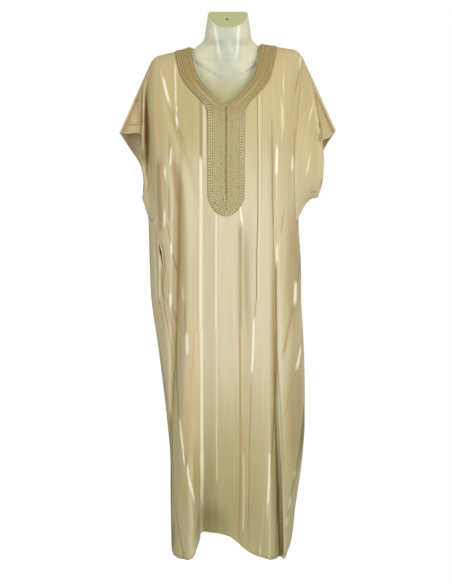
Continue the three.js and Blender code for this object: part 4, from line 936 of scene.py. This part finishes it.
def on_cloth(line, is_front, lift):
    """Points of a flat line laid on the cloth at a height above it, and the way out there."""
    x, z = line[..., 0], line[..., 1]
    y = cloth_y(x, z, is_front)
    slope_x = cloth_y(x + 1, z, is_front) - cloth_y(x - 1, z, is_front)
    slope_z = cloth_y(x, z + 1, is_front) - cloth_y(x, z - 1, is_front)
    out = np.stack([slope_x / 2, -np.ones_like(x), slope_z / 2], axis=-1)
    out *= (1 if is_front else -1) / np.linalg.norm(out, axis=-1)[..., None]
    rise = lift + STIFF_LIFT * smooth((z - STIFF_FROM) / (STIFF_TO - STIFF_FROM))
    return np.stack([x, y, z], axis=-1) + out * rise[..., None], out


def stitch_tree():
    """Sets one stitch on every point, turned to the point's own "along" and "up"."""
    tree = bpy.data.node_groups.new("stitches", "GeometryNodeTree")
    face = tree.interface
    face.new_socket(name="Places", in_out="INPUT", socket_type="NodeSocketGeometry")
    for name, kind in (("Length", "Float"), ("Width", "Float"), ("Height", "Float"),
                       ("Thread", "Material")):
        face.new_socket(name=name, in_out="INPUT", socket_type="NodeSocket" + kind)
    face.new_socket(name="Stitches", in_out="OUTPUT", socket_type="NodeSocketGeometry")
    given = tree.nodes.new("NodeGroupInput").outputs
    made = tree.nodes.new("NodeGroupOutput").inputs
    size = add_node(tree, "ShaderNodeCombineXYZ",
                    {0: given["Length"], 1: given["Width"], 2: given["Height"]}).outputs[0]
    lobe = add_node(tree, "GeometryNodeMeshUVSphere", {"Segments": 6, "Rings": 4, "Radius": 0.5})
    along, up = (
        add_node(tree, "GeometryNodeInputNamedAttribute", {"Name": name},
                 data_type="FLOAT_VECTOR").outputs["Attribute"] for name in ("along", "up")
    )
    turn = add_node(tree, "FunctionNodeAxesToRotation", {0: up, 1: along},
                    primary_axis="Z", secondary_axis="X").outputs[0]
    copies = add_node(tree, "GeometryNodeInstanceOnPoints", {
        "Points": given["Places"], "Instance": lobe.outputs["Mesh"],
        "Rotation": turn, "Scale": size,
    }).outputs[0]
    real = add_node(tree, "GeometryNodeRealizeInstances", {"Geometry": copies}).outputs[0]
    soft = add_node(tree, "GeometryNodeSetShadeSmooth", {"Geometry": real}).outputs[0]
    threaded = add_node(tree, "GeometryNodeSetMaterial",
                        {"Geometry": soft, "Material": given["Thread"]}).outputs[0]
    tree.links.new(threaded, made["Stitches"])
    return tree


STITCHES = stitch_tree()


def stitch_row(line, is_front, lift, pitch, slants):
    """Places at an even pitch along a flat line; the stitches lean by each slant in turn."""
    laid, out = on_cloth(line, is_front, lift)
    joined = np.hstack([laid, out])
    steps = max(2, int(np.linalg.norm(np.diff(laid, axis=0), axis=1).sum() / pitch))
    placed = resample(joined, steps)[0]
    along = np.gradient(placed[:, :3], axis=0)
    along /= np.linalg.norm(along, axis=1)[:, None]
    up = placed[:, 3:] / np.linalg.norm(placed[:, 3:], axis=1)[:, None]
    lean = np.radians(np.resize(slants, len(placed)))[:, None]
    turned = along * np.cos(lean) + np.cross(up, along) * np.sin(lean)
    return np.hstack([placed[:, :3], turned, up])


def stitch_object(name, rows, size, thread):
    """One mesh of all the stitches of some rows; size is a stitch's length, width and height."""
    places = np.vstack(rows)
    mesh = bpy.data.meshes.new(name)
    mesh.from_pydata((places[:, :3] * MM).tolist(), [], [])
    for key, columns in (("along", places[:, 3:6]), ("up", places[:, 6:9])):
        made = mesh.attributes.new(key, "FLOAT_VECTOR", "POINT")
        made.data.foreach_set("vector", columns.ravel())
    obj = bpy.data.objects.new(name, mesh)
    scene.collection.objects.link(obj)
    tree = obj.modifiers.new("stitches", "NODES")
    tree.node_group = STITCHES
    sockets = {item.name: item.identifier for item in STITCHES.interface.items_tree}
    for key, value in zip(("Length", "Width", "Height"), size):
        tree[sockets[key]] = value * MM
    tree[sockets["Thread"]] = thread
    evaluated = obj.evaluated_get(bpy.context.evaluated_depsgraph_get())
    sewn = bpy.data.meshes.new_from_object(evaluated)
    obj.modifiers.clear()
    obj.data = sewn
    return obj


def thread_finish(name, neck_colour, chest_colour, gap_colour, gloss):
    """Silky thread, more golden round the neck than on the chest."""
    made, tree, shader = material(name)
    place = add_node(tree, "ShaderNodeTexCoord").outputs["Object"]
    height = add_node(tree, "ShaderNodeSeparateXYZ", {0: place}).outputs[2]
    colour = mix(tree, ramp(tree, height, 1.2, 1.34), srgb(*chest_colour), srgb(*neck_colour))
    gaps = ramp(tree, noise(tree, place, 260.0, 2.0), 0.5, 0.72, 0.0, 0.75)
    colour = mix(tree, gaps, colour, srgb(*gap_colour))
    tree.links.new(colour, shader.inputs["Base Color"])
    shader.inputs["Roughness"].default_value = gloss
    shader.inputs["Specular IOR Level"].default_value = 0.4
    emboss(tree, shader, noise(tree, place, 900.0, 1.0), 0.4, 0.0004)
    return made


band_finish = thread_finish("band_ground", (148, 130, 80), (172, 157, 112), (136, 118, 74), 0.75)
fill_thread = thread_finish("fill_thread", (182, 162, 108), (208, 195, 150), (172, 152, 100), 0.6)
plait_thread = thread_finish(
    "plait_thread", (196, 176, 122), (218, 205, 164), (188, 168, 118), 0.5)

BAND_AT = np.linspace(0, 14, 560)
BACK_TURN = np.linspace(0.0, np.pi, 300)
BAND_ROWS_KEPT = 3
# how far each plait's two rows and the filling lie from the edge they follow
NECK_PLAIT_FROM, OUTER_PLAIT_FROM = (5.6, 9.4), (4, 9.6)
FILL_FROM_NECK, FILL_FROM_OUTER = 14, 15
BACK_ROWS_FROM = ((6, 10), (38, 32), (15, 27))
FOOT_FROM, FOOT_KEEP_OFF = 10, 0.6
# each kind of stitch: lift over the band, pitch, slants, and its length, width and height
FILL_ROWS = (0.02, 0.26, 0.5, 0.74, 0.98)
FILL_LIFT, FILL_PITCH, FILL_SLANTS, FILL_SIZE = 0.7, 2.4, (55, -55), (4.6, 1.7, 1.0)
NECK_LIFT, NECK_PITCH, NECK_SLANTS, NECK_SIZE = 1.1, 5.6, (42, -42), (5.6, 2.6, 1.8)
OUTER_LIFT, OUTER_PITCH, OUTER_SLANTS, OUTER_SIZE = 1.2, 6.8, (48, -48), (8.2, 3.3, 2.2)
KNOT_LIFT, KNOT_PITCH, KNOT_SLANTS, KNOT_SIZE = 4.6, 5.5, (80,), (8, 5, 4.5)
FOOT_LINE = table(("at", "x", "z"), [
    (10, 15.3, 1052), (11, 13.5, 1042), (12, 8.5, 1036), (13, 3.5, 1033), (14, 0.5, 1032),
])
fill_rows, neck_rows, outer_rows = [], [], []
for name, sign in (("left", -1), ("right", 1), ("back", 0)):
    is_front = sign != 0
    if is_front:
        inner_edge, outer_edge = band_rays(sign, BAND_AT)
        upper = BAND_AT <= PLAIT_END_AT
        neck_lines = [offset_line(inner_edge[upper], sign * d) for d in NECK_PLAIT_FROM]
        outer_lines = [offset_line(outer_edge, -sign * d) for d in OUTER_PLAIT_FROM]
        between_in = offset_line(inner_edge, sign * FILL_FROM_NECK)
        foot = BAND_AT > FOOT_FROM
        between_in[foot, 0] = sign * blend(FOOT_LINE, "at", BAND_AT[foot], "x")
        between_in[foot, 1] = blend(FOOT_LINE, "at", BAND_AT[foot], "z")
        between_out = offset_line(outer_edge, -sign * FILL_FROM_OUTER)
    else:
        inner_edge, outer_edge = back_rays(BACK_TURN)
        neck_lines, outer_lines, (between_in, between_out) = (
            [inner_edge + (outer_edge - inner_edge) * d / BACK_BAND_WIDTH for d in pair]
            for pair in BACK_ROWS_FROM
        )
    span = np.linspace(0, 1, BAND_CELLS + 1)
    width = np.linalg.norm(outer_edge - inner_edge, axis=1).clip(BAND_INSET * 2)[:, None]
    inset = BAND_INSET / width
    if is_front:
        inset *= smooth((inner_edge[:, 1:] - V_POINT_Z + INSET_BELOW) / INSET_FADE)
    first = inner_edge + (outer_edge - inner_edge) * inset
    flat = first[:, None] + (outer_edge - first)[:, None] * span[None, :, None]
    flat = flat[::BAND_ROWS_KEPT]
    laid, _ = on_cloth(flat, is_front, BAND_LIFT)
    band = grid_object("band_" + name, laid, flat, sign if is_front else -1, BAND_WALL)
    band.data.materials.append(band_finish)
    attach(band, "root")
    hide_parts("neckband_" + name, "neck_braid_" + name, "outer_braid_" + name)
    filling = [between_in + (between_out - between_in) * t for t in FILL_ROWS]
    facing = sign if is_front else 1
    for rows, lines, lift, pitch, slants in (
        (fill_rows, filling, FILL_LIFT, FILL_PITCH, [FILL_SLANTS] * len(FILL_ROWS)),
        (neck_rows, neck_lines, NECK_LIFT, NECK_PITCH, [(s * facing,) for s in NECK_SLANTS]),
        (outer_rows, outer_lines, OUTER_LIFT, OUTER_PITCH, [(s * facing,) for s in OUTER_SLANTS]),
    ):
        for line, slant in zip(lines, slants):
            kept = line[line[:, 0] * sign > FOOT_KEEP_OFF] if is_front else line
            rows.append(stitch_row(kept, is_front, BAND_LIFT + lift, pitch, slant))

fill = stitch_object("fill_stitches", fill_rows, FILL_SIZE, fill_thread)
neck_plait = stitch_object("neck_plait", neck_rows, NECK_SIZE, plait_thread)
outer_plait = stitch_object("outer_plait", outer_rows, OUTER_SIZE, plait_thread)
# Three knots close the foot of the slit.
KNOT_LINE = np.array([(-3.2, 1046), (-3.2, 1040), (-3.2, 1034)], float)
knot_row = stitch_row(KNOT_LINE, True, KNOT_LIFT, KNOT_PITCH, KNOT_SLANTS)
knots = stitch_object("foot_knots", [knot_row], KNOT_SIZE, plait_thread)
for piece, slot in ((fill, "embroidery"), (neck_plait, "braid"), (outer_plait, "braid"),
                    (knots, "braid")):
    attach(piece, "root")


# ---------------------------------------------------------------- sleeves
# Two short wide sleeves of the same cloth, each one piece sewn to the armhole as an open tube.
# Each hangs in one fold, its front layer stepping back over the flap behind it.
SLEEVE_MOUTH = {
    "left": table(("at", "x", "y", "z", "pleat"), [
        (0, -281, 12, 1200, 0), (0.09, -262, -14, 1199, 8), (0.18, -222, -38, 1198, 20),
        (0.29, -219, -52, 1140, 26), (0.4, -212, -46, 1070, 22), (0.5, -221, -24, 1034, 4),
        (0.62, -221, 20, 1050, -12), (0.76, -229, 50, 1110, -24), (0.9, -259, 38, 1162, -12),
        (1, -281, 12, 1200, 0),
    ]),
    "right": table(("at", "x", "y", "z", "pleat"), [
        (0, 290, 12, 1206, 0), (0.09, 274, -14, 1191, 2), (0.18, 252, -40, 1178, -2),
        (0.29, 254, -56, 1130, -6), (0.4, 251, -50, 1075, -4), (0.5, 240, -28, 1034, 0),
        (0.62, 236, 18, 1046, -12), (0.76, 244, 48, 1102, -24), (0.9, 264, 38, 1160, -12),
        (1, 290, 12, 1206, 0),
    ]),
}
SLEEVE_ROUND, SLEEVE_ALONG = 240, 90
SEAM_ROWS = CELLS_UPPER + CELLS_CHEST + 1
# Where the front layer folds over the flap behind it: places down the fold, the step between
# the two, and the depth of the valley beside it.
SLEEVE_STEP = {
    "left": table(("z", "x", "step", "valley"), [
        (1060, -222, 0, 0), (1120, -219, 3, 9), (1180, -219, 12, 17), (1260, -218, 15, 18),
        (1330, -216, 6, 7), (1350, -215, 0, 0),
    ]),
    "right": table(("z", "x", "step", "valley"), [
        (1120, 256, 0, 0), (1166, 252, 11, 0), (1230, 243, 16, 0), (1308, 230, 9, 0),
        (1340, 224, 0, 0),
    ]),
}
SLEEVE_SAG = {"left": -13, "right": 17}
STEP_SHARP, VALLEY_OFF, VALLEY_HALF = 1.6, 13, 6
RIDGE_OFF, RIDGE_HALF, RIDGE_SHARE = 5, 4, 0.35
CREASE_OFF, CREASE_HALF, CREASE_SHADE = 1.2, 1.6, 1.2
FULL_STEP, FULL_VALLEY = 12, 14  # a step or a valley this deep is fully shaded
LOWEST_AT, LOWEST_SPREAD = 0.5, 0.055
FRONT_STARTS, FRONT_STARTS_OVER, FRONT_ENDS_OVER = 0.01, 0.03, 0.04
SEAM_SHARE = 0.12
SLEEVE_WAVES, SLEEVE_BLUR = 0.5, 30


def sleeve_fold(side, sign, x, z):
    """How far the front layer lies back at a place, and how much painted shade that place gets."""
    rows = SLEEVE_STEP[side]
    beyond = sign * (x - blend(rows, "z", z, "x"))
    step, valley = blend(rows, "z", z, "step"), blend(rows, "z", z, "valley")
    flap = smooth(beyond / STEP_SHARP / 2 + 0.5)
    ridge = np.exp(-(((beyond + RIDGE_OFF) / RIDGE_HALF) ** 2))
    hollow = np.exp(-(((beyond + VALLEY_OFF) / VALLEY_HALF) ** 2))
    back = step * flap - RIDGE_SHARE * step * ridge + valley * hollow
    crease = np.exp(-(((beyond - CREASE_OFF) / CREASE_HALF) ** 2))
    crease *= np.clip(step / FULL_STEP, 0, 1)
    return back, np.clip(valley / FULL_VALLEY, 0, 1) * hollow + CREASE_SHADE * crease


# Here u runs from the mouth to the armhole, and the height is the way round the mouth.
SLEEVE_MARKS = {
    "left": [
        ("tan", 21, 90, 21, 2, 3.4, 1), ("tan", 84, 100, 88, 2, 4.2, 0.9),
        ("pale", 6, 700, 6, 2, 1.4, 0.8), ("tan", 9, 700, 9, 2, 1.2, 0.7),
        ("tan", 21, 700, 21, 400, 3.4, 1), ("tan", 84, 700, 84, 400, 4.2, 0.9),
    ],
    "right": [
        ("pale", 6, 700, 6, 2, 1.4, 0.8), ("tan", 9, 700, 9, 2, 1.2, 0.7),
        ("tan", 21, 700, 21, 400, 3.4, 1), ("tan", 84, 700, 84, 400, 4.2, 0.9),
        # satin stripes on this sleeve, partly painted highlight where they catch the light
        ("silk", 97, 36, 67, 66, 5.2, 0.9), ("silk", 45, 126, 49, 158, 4.4, 0.9),
        ("tan", 29, 84, 45, 126, 2.6, 0.5), ("tan", 49, 158, 56, 213, 2.6, 0.5),
    ],
}
# Soft patches of painted shade in the fold and inside the mouth, and one of painted light on the
# left, as ovals like those of the panels.
SLEEVE_SPOTS = {
    "left": [
        (-242, 1255, 26, 32, 0, (224, 208, 166), 0.5),
        (-207, 1215, 6, 118, 0, (160, 124, 70), 0.4),
        (-243, 1285, 28, 6, 0, (166, 122, 62), 0.9), (-248, 1222, 32, 4.5, 0, (166, 122, 62), 0.8),
        (-224, 1160, 14, 52, -0.3, (108, 96, 50), 0.75),
        (-218.5, 1262, 3.4, 76, 0, (84, 60, 28), 1.0),
    ],
    "right": [
        (244, 1222, 6, 13, 0, (132, 98, 54), 0.8), (243, 1190, 6, 18, 0, BROWN_SHADE, 0.7),
        (251, 1074, 5, 24, 0.2, (92, 96, 46), 0.75), (229, 1050, 16, 3, 0.3, BROWN_SHADE, 0.6),
    ],
}
for side, sign in (("left", -1), ("right", 1)):
    column = 0 if side == "left" else -1
    front_edge, back_edge = (
        resample(panels[name][:SEAM_ROWS, column], SLEEVE_ROUND // 2)[0]
        for name in ("front", "back")
    )
    seam = np.vstack([front_edge, back_edge[::-1][1:-1]])
    seam[:, 0] += sign * SEAM_GAP
    at = np.arange(SLEEVE_ROUND) / SLEEVE_ROUND
    mouth = np.stack([blend(SLEEVE_MOUTH[side], "at", at, k) for k in "xyz"], axis=1)
    pleat = blend(SLEEVE_MOUTH[side], "at", at, "pleat")
    f = np.linspace(0, 1, SLEEVE_ALONG + 1)[:, None]
    grid = seam[None] + (mouth - seam)[None] * f[:, :, None]
    grid[:, :, 1] += np.sin(np.pi * f) ** 2 * pleat[None]
    bottom = np.exp(-(((at - LOWEST_AT) / LOWEST_SPREAD) ** 2))[None]
    grid[:, :, 2] += SLEEVE_SAG[side] * np.sin(np.pi * f) * bottom
    steps = np.linalg.norm(np.diff(grid, axis=0), axis=2)
    from_mouth = np.vstack([np.cumsum(steps[::-1], axis=0)[::-1], np.zeros(SLEEVE_ROUND)])
    round_mouth = np.linalg.norm(np.diff(np.vstack([mouth, mouth[:1]]), axis=0), axis=1)
    around = np.concatenate([[0], np.cumsum(round_mouth)[:-1]])
    uv = np.stack([from_mouth, np.broadcast_to(around, from_mouth.shape)], axis=2)
    is_front = smooth((at - FRONT_STARTS) / FRONT_STARTS_OVER)
    is_front *= smooth((LOWEST_AT - at) / FRONT_ENDS_OVER)
    back, fold_shade = sleeve_fold(side, sign, grid[:, :, 0], grid[:, :, 2])
    from_seam = smooth(f / SEAM_SHARE)
    grid[:, :, 1] += back * is_front[None] * from_seam
    relief = waves(around[None], 1000 * f, SLEEVE_WAVES)
    relief = relief + mark_relief(SLEEVE_MARKS[side], uv[:, :, 0], uv[:, :, 1])
    grid += grid_normals(grid, -sign, True) * (relief * from_seam)[:, :, None]
    shade = hollows(grid, grid_normals(grid, -sign, True), True, SLEEVE_BLUR)
    shade = np.clip(shade + fold_shade * is_front[None] * from_seam, -1, 1)
    shades = {
        "hollow": shade, "from_hem": from_mouth * MM,
        "tint": tints(grid, uv, (), SLEEVE_SPOTS[side]),
    }
    obj = grid_object("sleeve_cloth_" + side, grid, uv, -sign, CLOTH_WALL, True, shades)
    obj.data.materials.append(cloth("striped_cloth_sleeve_" + side, SLEEVE_MARKS[side]))
    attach(obj, "root")
    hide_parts("sleeve_" + side)


# ---------------------------------------------------------------- dress form
# The limbless form that the garment hangs on: one moulded shell with a smooth, faintly glossy
# skin. Its colour is painted light: greyish white in the middle of the throat, lighter at the
# sides where the lamps fall, yellower shade on the chest under the cloth. It stands on the stand's
# plate.
FORM_X = 5
FORM_SECTIONS = table(("z", "half", "front", "back", "power", "throat"), [
    (690, 148, -84, 96, 2.2, 0), (700, 156, -90, 102, 2.2, 0), (760, 162, -94, 107, 2.2, 0),
    (830, 164, -96, 110, 2.2, 0), (900, 152, -93, 100, 2.2, 0), (1000, 124, -86, 84, 2.2, 0),
    (1100, 142, -102, 86, 2.2, 0), (1150, 152, -112, 90, 2.2, 0), (1190, 160, -115, 92, 2.2, 0),
    (1240, 166, -106, 92, 2.2, 0), (1290, 174, -84, 88, 2.2, 0), (1330, 178, -62, 78, 2.2, 5),
    (1358, 178, -48, 66, 2.2, 11), (1376, 168, -40, 58, 2.2, 16), (1388, 150, -36, 52, 2.2, 20),
    (1397, 128, -36, 46, 2.2, 19), (1405, 107, -40, 47, 1.9, 15), (1414, 93, -42, 49, 1.5, 12),
    (1424, 80, -46, 52, 1.3, 8), (1432, 70, -50, 53, 1.6, 3), (1440, 63, -53, 54, 2.0, 0),
    (1466, 58, -52, 55, 2.2, 0), (1508, 51, -50, 52, 2.2, 0),
])
FORM_TOP = 1508
THROAT_SPREAD = 46
NECK_FACE_RISE, NECK_FACE_FROM = 0.8, 1436
COLLAR_BONE = ((-74, 1384), (-17, 1346))
BONE_RISE, BONE_SPREAD, BONE_END = 3.2, 5.0, 14
DIP_SHARE, DIP_OFF = 0.9, 9
SHARP_FROM = 32  # degrees
FINE_FROM, COARSE_RINGS, FINE_RINGS = 1320, 90, 110


def collar_bone(x, z):
    """How far the two collar bones stand out of the form's front."""
    (x0, z0), (x1, z1) = COLLAR_BONE
    length = math.hypot(x1 - x0, z1 - z0)
    dx, dz = -np.abs(x) - x0, z - z0
    along = (dx * (x1 - x0) + dz * (z1 - z0)) / length
    across = (dz * (x1 - x0) - dx * (z1 - z0)) / length
    ends = smooth(along / BONE_END + 1) * smooth((length - along) / BONE_END + 1)
    bone = np.exp(-((across / BONE_SPREAD) ** 2))
    dip = np.exp(-(((across + DIP_OFF) / BONE_SPREAD) ** 2))
    return BONE_RISE * ends * (bone - DIP_SHARE * dip)


def form_ring(z, grow=0, sides=96):
    """A ring of points round the form; grow moves it outwards. It slants at the neck's top."""
    half, front, back, power, throat = (
        blend(FORM_SECTIONS, "z", z, name) for name in ("half", "front", "back", "power", "throat")
    )
    slant = NECK_FACE_RISE * smooth((z - NECK_FACE_FROM) / (FORM_TOP - NECK_FACE_FROM))
    turn = np.linspace(0, 2 * np.pi, sides, endpoint=False)
    sine, cosine = np.sin(turn), np.cos(turn)
    x = (half + grow) * np.sign(sine) * np.abs(sine) ** (2 / power)
    forward = front - grow - throat * np.exp(-((x / THROAT_SPREAD) ** 2))
    y = np.where(cosine > 0, forward, back + grow) * np.abs(cosine) ** (2 / power)
    y = y - np.where(cosine > 0, collar_bone(x, z), 0)
    return np.stack([FORM_X + x, y, z + slant * np.minimum(y, 0)], axis=1)


def ring_object(name, rings, middles, finish):
    """A closed solid over rings from the lowest up, with a fan about a middle at each end."""
    n, count = len(rings[0]), len(rings)
    points = np.vstack([*rings, *middles])
    faces = []
    for r in range(count - 1):
        for i in range(n):
            j = (i + 1) % n
            faces.append((r * n + i, (r + 1) * n + i, (r + 1) * n + j, r * n + j))
    last = (count - 1) * n
    for i in range(n):
        j = (i + 1) % n
        faces.append((count * n, i, j))
        faces.append((count * n + 1, last + j, last + i))
    mesh = bpy.data.meshes.new(name)
    mesh.from_pydata((points * MM).tolist(), [], faces)
    mesh.shade_smooth()
    mesh.set_sharp_from_angle(angle=math.radians(SHARP_FROM))
    mesh.materials.append(finish)
    obj = bpy.data.objects.new(name, mesh)
    scene.collection.objects.link(obj)
    return obj


MOTTLE = srgb(150, 146, 110)


def shell_finish(name, colour_at, gloss, uneven=0.05):
    """A painted or moulded skin: its colour by place, a faint mottle and a fine grain."""
    made, tree, shader = material(name)
    place = add_node(tree, "ShaderNodeTexCoord").outputs["Object"]
    colour = colour_at(tree, place, add_node(tree, "ShaderNodeSeparateXYZ", {0: place}).outputs)
    mottle = noise(tree, place, 14.0, 3.0)
    spots = ramp(tree, mottle, 0.35, 0.7, 0.0, uneven)
    tree.links.new(mix(tree, spots, colour, MOTTLE), shader.inputs["Base Color"])
    rough = ramp(tree, mottle, 0.3, 0.7, gloss, gloss * 1.3)
    tree.links.new(rough, shader.inputs["Roughness"])
    emboss(tree, shader, noise(tree, place, 380.0, 2.0), 0.08, 0.0004)
    return made, shader


# painted highlights where the lamps reflect: two long pale streaks down the throat, as stripes:
# x and height at both ends, width, strength
THROAT_HIGHLIGHTS = [
    ("sheen", -30, 1480, -17, 1398, 7.5, 0.75), ("sheen", 34, 1480, 28, 1398, 7.5, 0.7),
]
# painted light on the form: a grey middle to the throat, lit sides, yellow shade on the chest
THROAT_GREY, THROAT_LIT_SIDE, CHEST_SHADE_YELLOW = (
    srgb(196, 199, 176), srgb(218, 217, 186), srgb(192, 187, 136)
)


def form_colour(tree, place, parts):
    """Painted light: greyish white down the throat's middle, lighter and yellower at its sides,
    shaded yellow on the chest.
    """
    off = maths(tree, "ABSOLUTE", maths(tree, "SUBTRACT", parts[0], FORM_X * MM))
    across = mix(tree, ramp(tree, off, 0.02, 0.044), THROAT_GREY, THROAT_LIT_SIDE)
    colour = mix(tree, ramp(tree, parts[2], 1.37, 1.29), across, CHEST_SHADE_YELLOW)
    flat = add_node(tree, "ShaderNodeCombineXYZ", {0: parts[0], 1: parts[2], 2: 1.0}).outputs[0]
    for mark in THROAT_HIGHLIGHTS:
        colour, _ = lay_stripe(tree, colour, 0.0, flat, parts[2], mark)
    return colour


form_material, form_shader = shell_finish("form_shell", form_colour, 0.4)
form_shader.inputs["Coat Weight"].default_value = 0.12
form_shader.inputs["Coat Roughness"].default_value = 0.18
heights = np.unique(np.concatenate([
    FORM_SECTIONS["z"],
    np.linspace(FORM_SECTIONS["z"][0], FINE_FROM, COARSE_RINGS),
    np.linspace(FINE_FROM, FORM_TOP, FINE_RINGS),
]))
ends = [(FORM_X, 0, heights[0]), (FORM_X, 0, FORM_TOP)]
torso = ring_object("dress_form", [form_ring(z) for z in heights], ends, form_material)
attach(torso, "root")
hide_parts("form_torso")


# ---------------------------------------------------------------- neck plate
# A thin plate of pale card, glued on the slanted top of the form's neck to close it. Near the
# front a dark spot of painted shade stands for its one screw hole.
HOLE_PLACE, HOLE_HALF = (0.003, -0.026), 0.0032
CARD, HOLE_SHADE = srgb(186, 188, 138), srgb(84, 80, 50)
PLATE_LEVELS, PLATE_INSET = (0.6, 3.1), 2


def cap_colour(tree, place, parts):
    """The card's colour, with painted shade where the screw hole is."""
    sides = [maths(tree, "SUBTRACT", parts[i], HOLE_PLACE[i]) for i in (0, 1)]
    squares = [maths(tree, "POWER", maths(tree, "DIVIDE", side, HOLE_HALF), 2.0) for side in sides]
    inside = ramp(tree, maths(tree, "ADD", *squares), 1.3, 0.7)
    return mix(tree, inside, CARD, HOLE_SHADE)


cap_material, _ = shell_finish("cap_plate", cap_colour, 0.55)
cap_face = form_ring(FORM_TOP, -PLATE_INSET)
cap = ring_object("neck_plate", [cap_face + (0, 0, h) for h in PLATE_LEVELS],
                  [(FORM_X, 0, FORM_TOP + h) for h in PLATE_LEVELS], cap_material)
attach(cap, "root")
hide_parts("form_neck_cap")


# ---------------------------------------------------------------- stand
# White painted steel: a flat round base, a pole and a mounting plate screwed under the form.
# These are the CAD solids with a finish, so white that the stand hardly shows on the floor.
STAND_WHITE = srgb(250, 250, 250)
stand_material, _ = shell_finish("white_metal", lambda *_: STAND_WHITE, 0.35, 0.02)
stand_only = bpy.data.collections.new("stand_only")
for name in ("stand_base", "stand_plate", "stand_pole"):
    nodes[name].material_slots[0].material = stand_material
    stand_only.objects.link(nodes[name])


# ---------------------------------------------------------------- light and background
# A white room far round the part that glows to the camera only, and two soft lamps in front.
ROOM = 18
FLOOR_Z = -0.002
square = ((-ROOM, -ROOM), (ROOM, -ROOM), (ROOM, ROOM), (-ROOM, ROOM))
room_corners = [(x, y, z) for z in (FLOOR_Z, ROOM) for x, y in square]
room_sides = [(i, (i + 1) % 4, (i + 1) % 4 + 4, i + 4) for i in range(4)]
room_mesh = bpy.data.meshes.new("studio_room")
room_mesh.from_pydata(room_corners, [], [(0, 1, 2, 3), (4, 5, 6, 7)] + room_sides)
room_white = bpy.data.materials.new("studio_room")
room_white.use_nodes = True
room_tree = room_white.node_tree
room_tree.nodes.clear()
emission = add_node(room_tree, "ShaderNodeEmission", {"Strength": 1.0}).outputs[0]
add_node(room_tree, "ShaderNodeOutputMaterial", {"Surface": emission})
room_mesh.materials.append(room_white)
room = bpy.data.objects.new("studio_room", room_mesh)
room.visible_diffuse = False
room.visible_glossy = False
room.visible_shadow = False
scene.collection.objects.link(room)

SKY_COLOUR, SKY_STRENGTH = (1, 0.985, 0.95, 1), 0.55
world = bpy.data.worlds.new("studio")
world.use_nodes = True
sky = world.node_tree.nodes["Background"].inputs
sky["Color"].default_value = SKY_COLOUR
sky["Strength"].default_value = SKY_STRENGTH
scene.world = world


def area_light(name, place, target, size, power):
    """A lamp behind a rectangle of size metres, turned to a target; power in watts."""
    light = bpy.data.lights.new(name, "AREA")
    light.shape = "RECTANGLE"
    light.size, light.size_y = size
    light.energy = power
    obj = bpy.data.objects.new(name, light)
    obj.location = place
    obj.rotation_euler = (Vector(target) - Vector(place)).to_track_quat("-Z", "Y").to_euler()
    scene.collection.objects.link(obj)
    return obj


area_light("key", (1.5, -2.6, 2.1), (0, 0, 1.0), (0.7, 2.6), 46)
area_light("fill", (-1.6, -2.6, 1.9), (0, 0, 1.0), (0.6, 2.4), 20)
# A lamp that lights only the stand keeps it as white as the floor it stands on.
stand_lamp = area_light("stand_lamp", (0, -1.8, 0.7), (0, 0, 0), (1.2, 0.6), 160)
stand_lamp.light_linking.receiver_collection = stand_only
stand_lamp.light_linking.blocker_collection = stand_only

scene.view_settings.view_transform = "Standard"
scene.view_settings.look = "None"
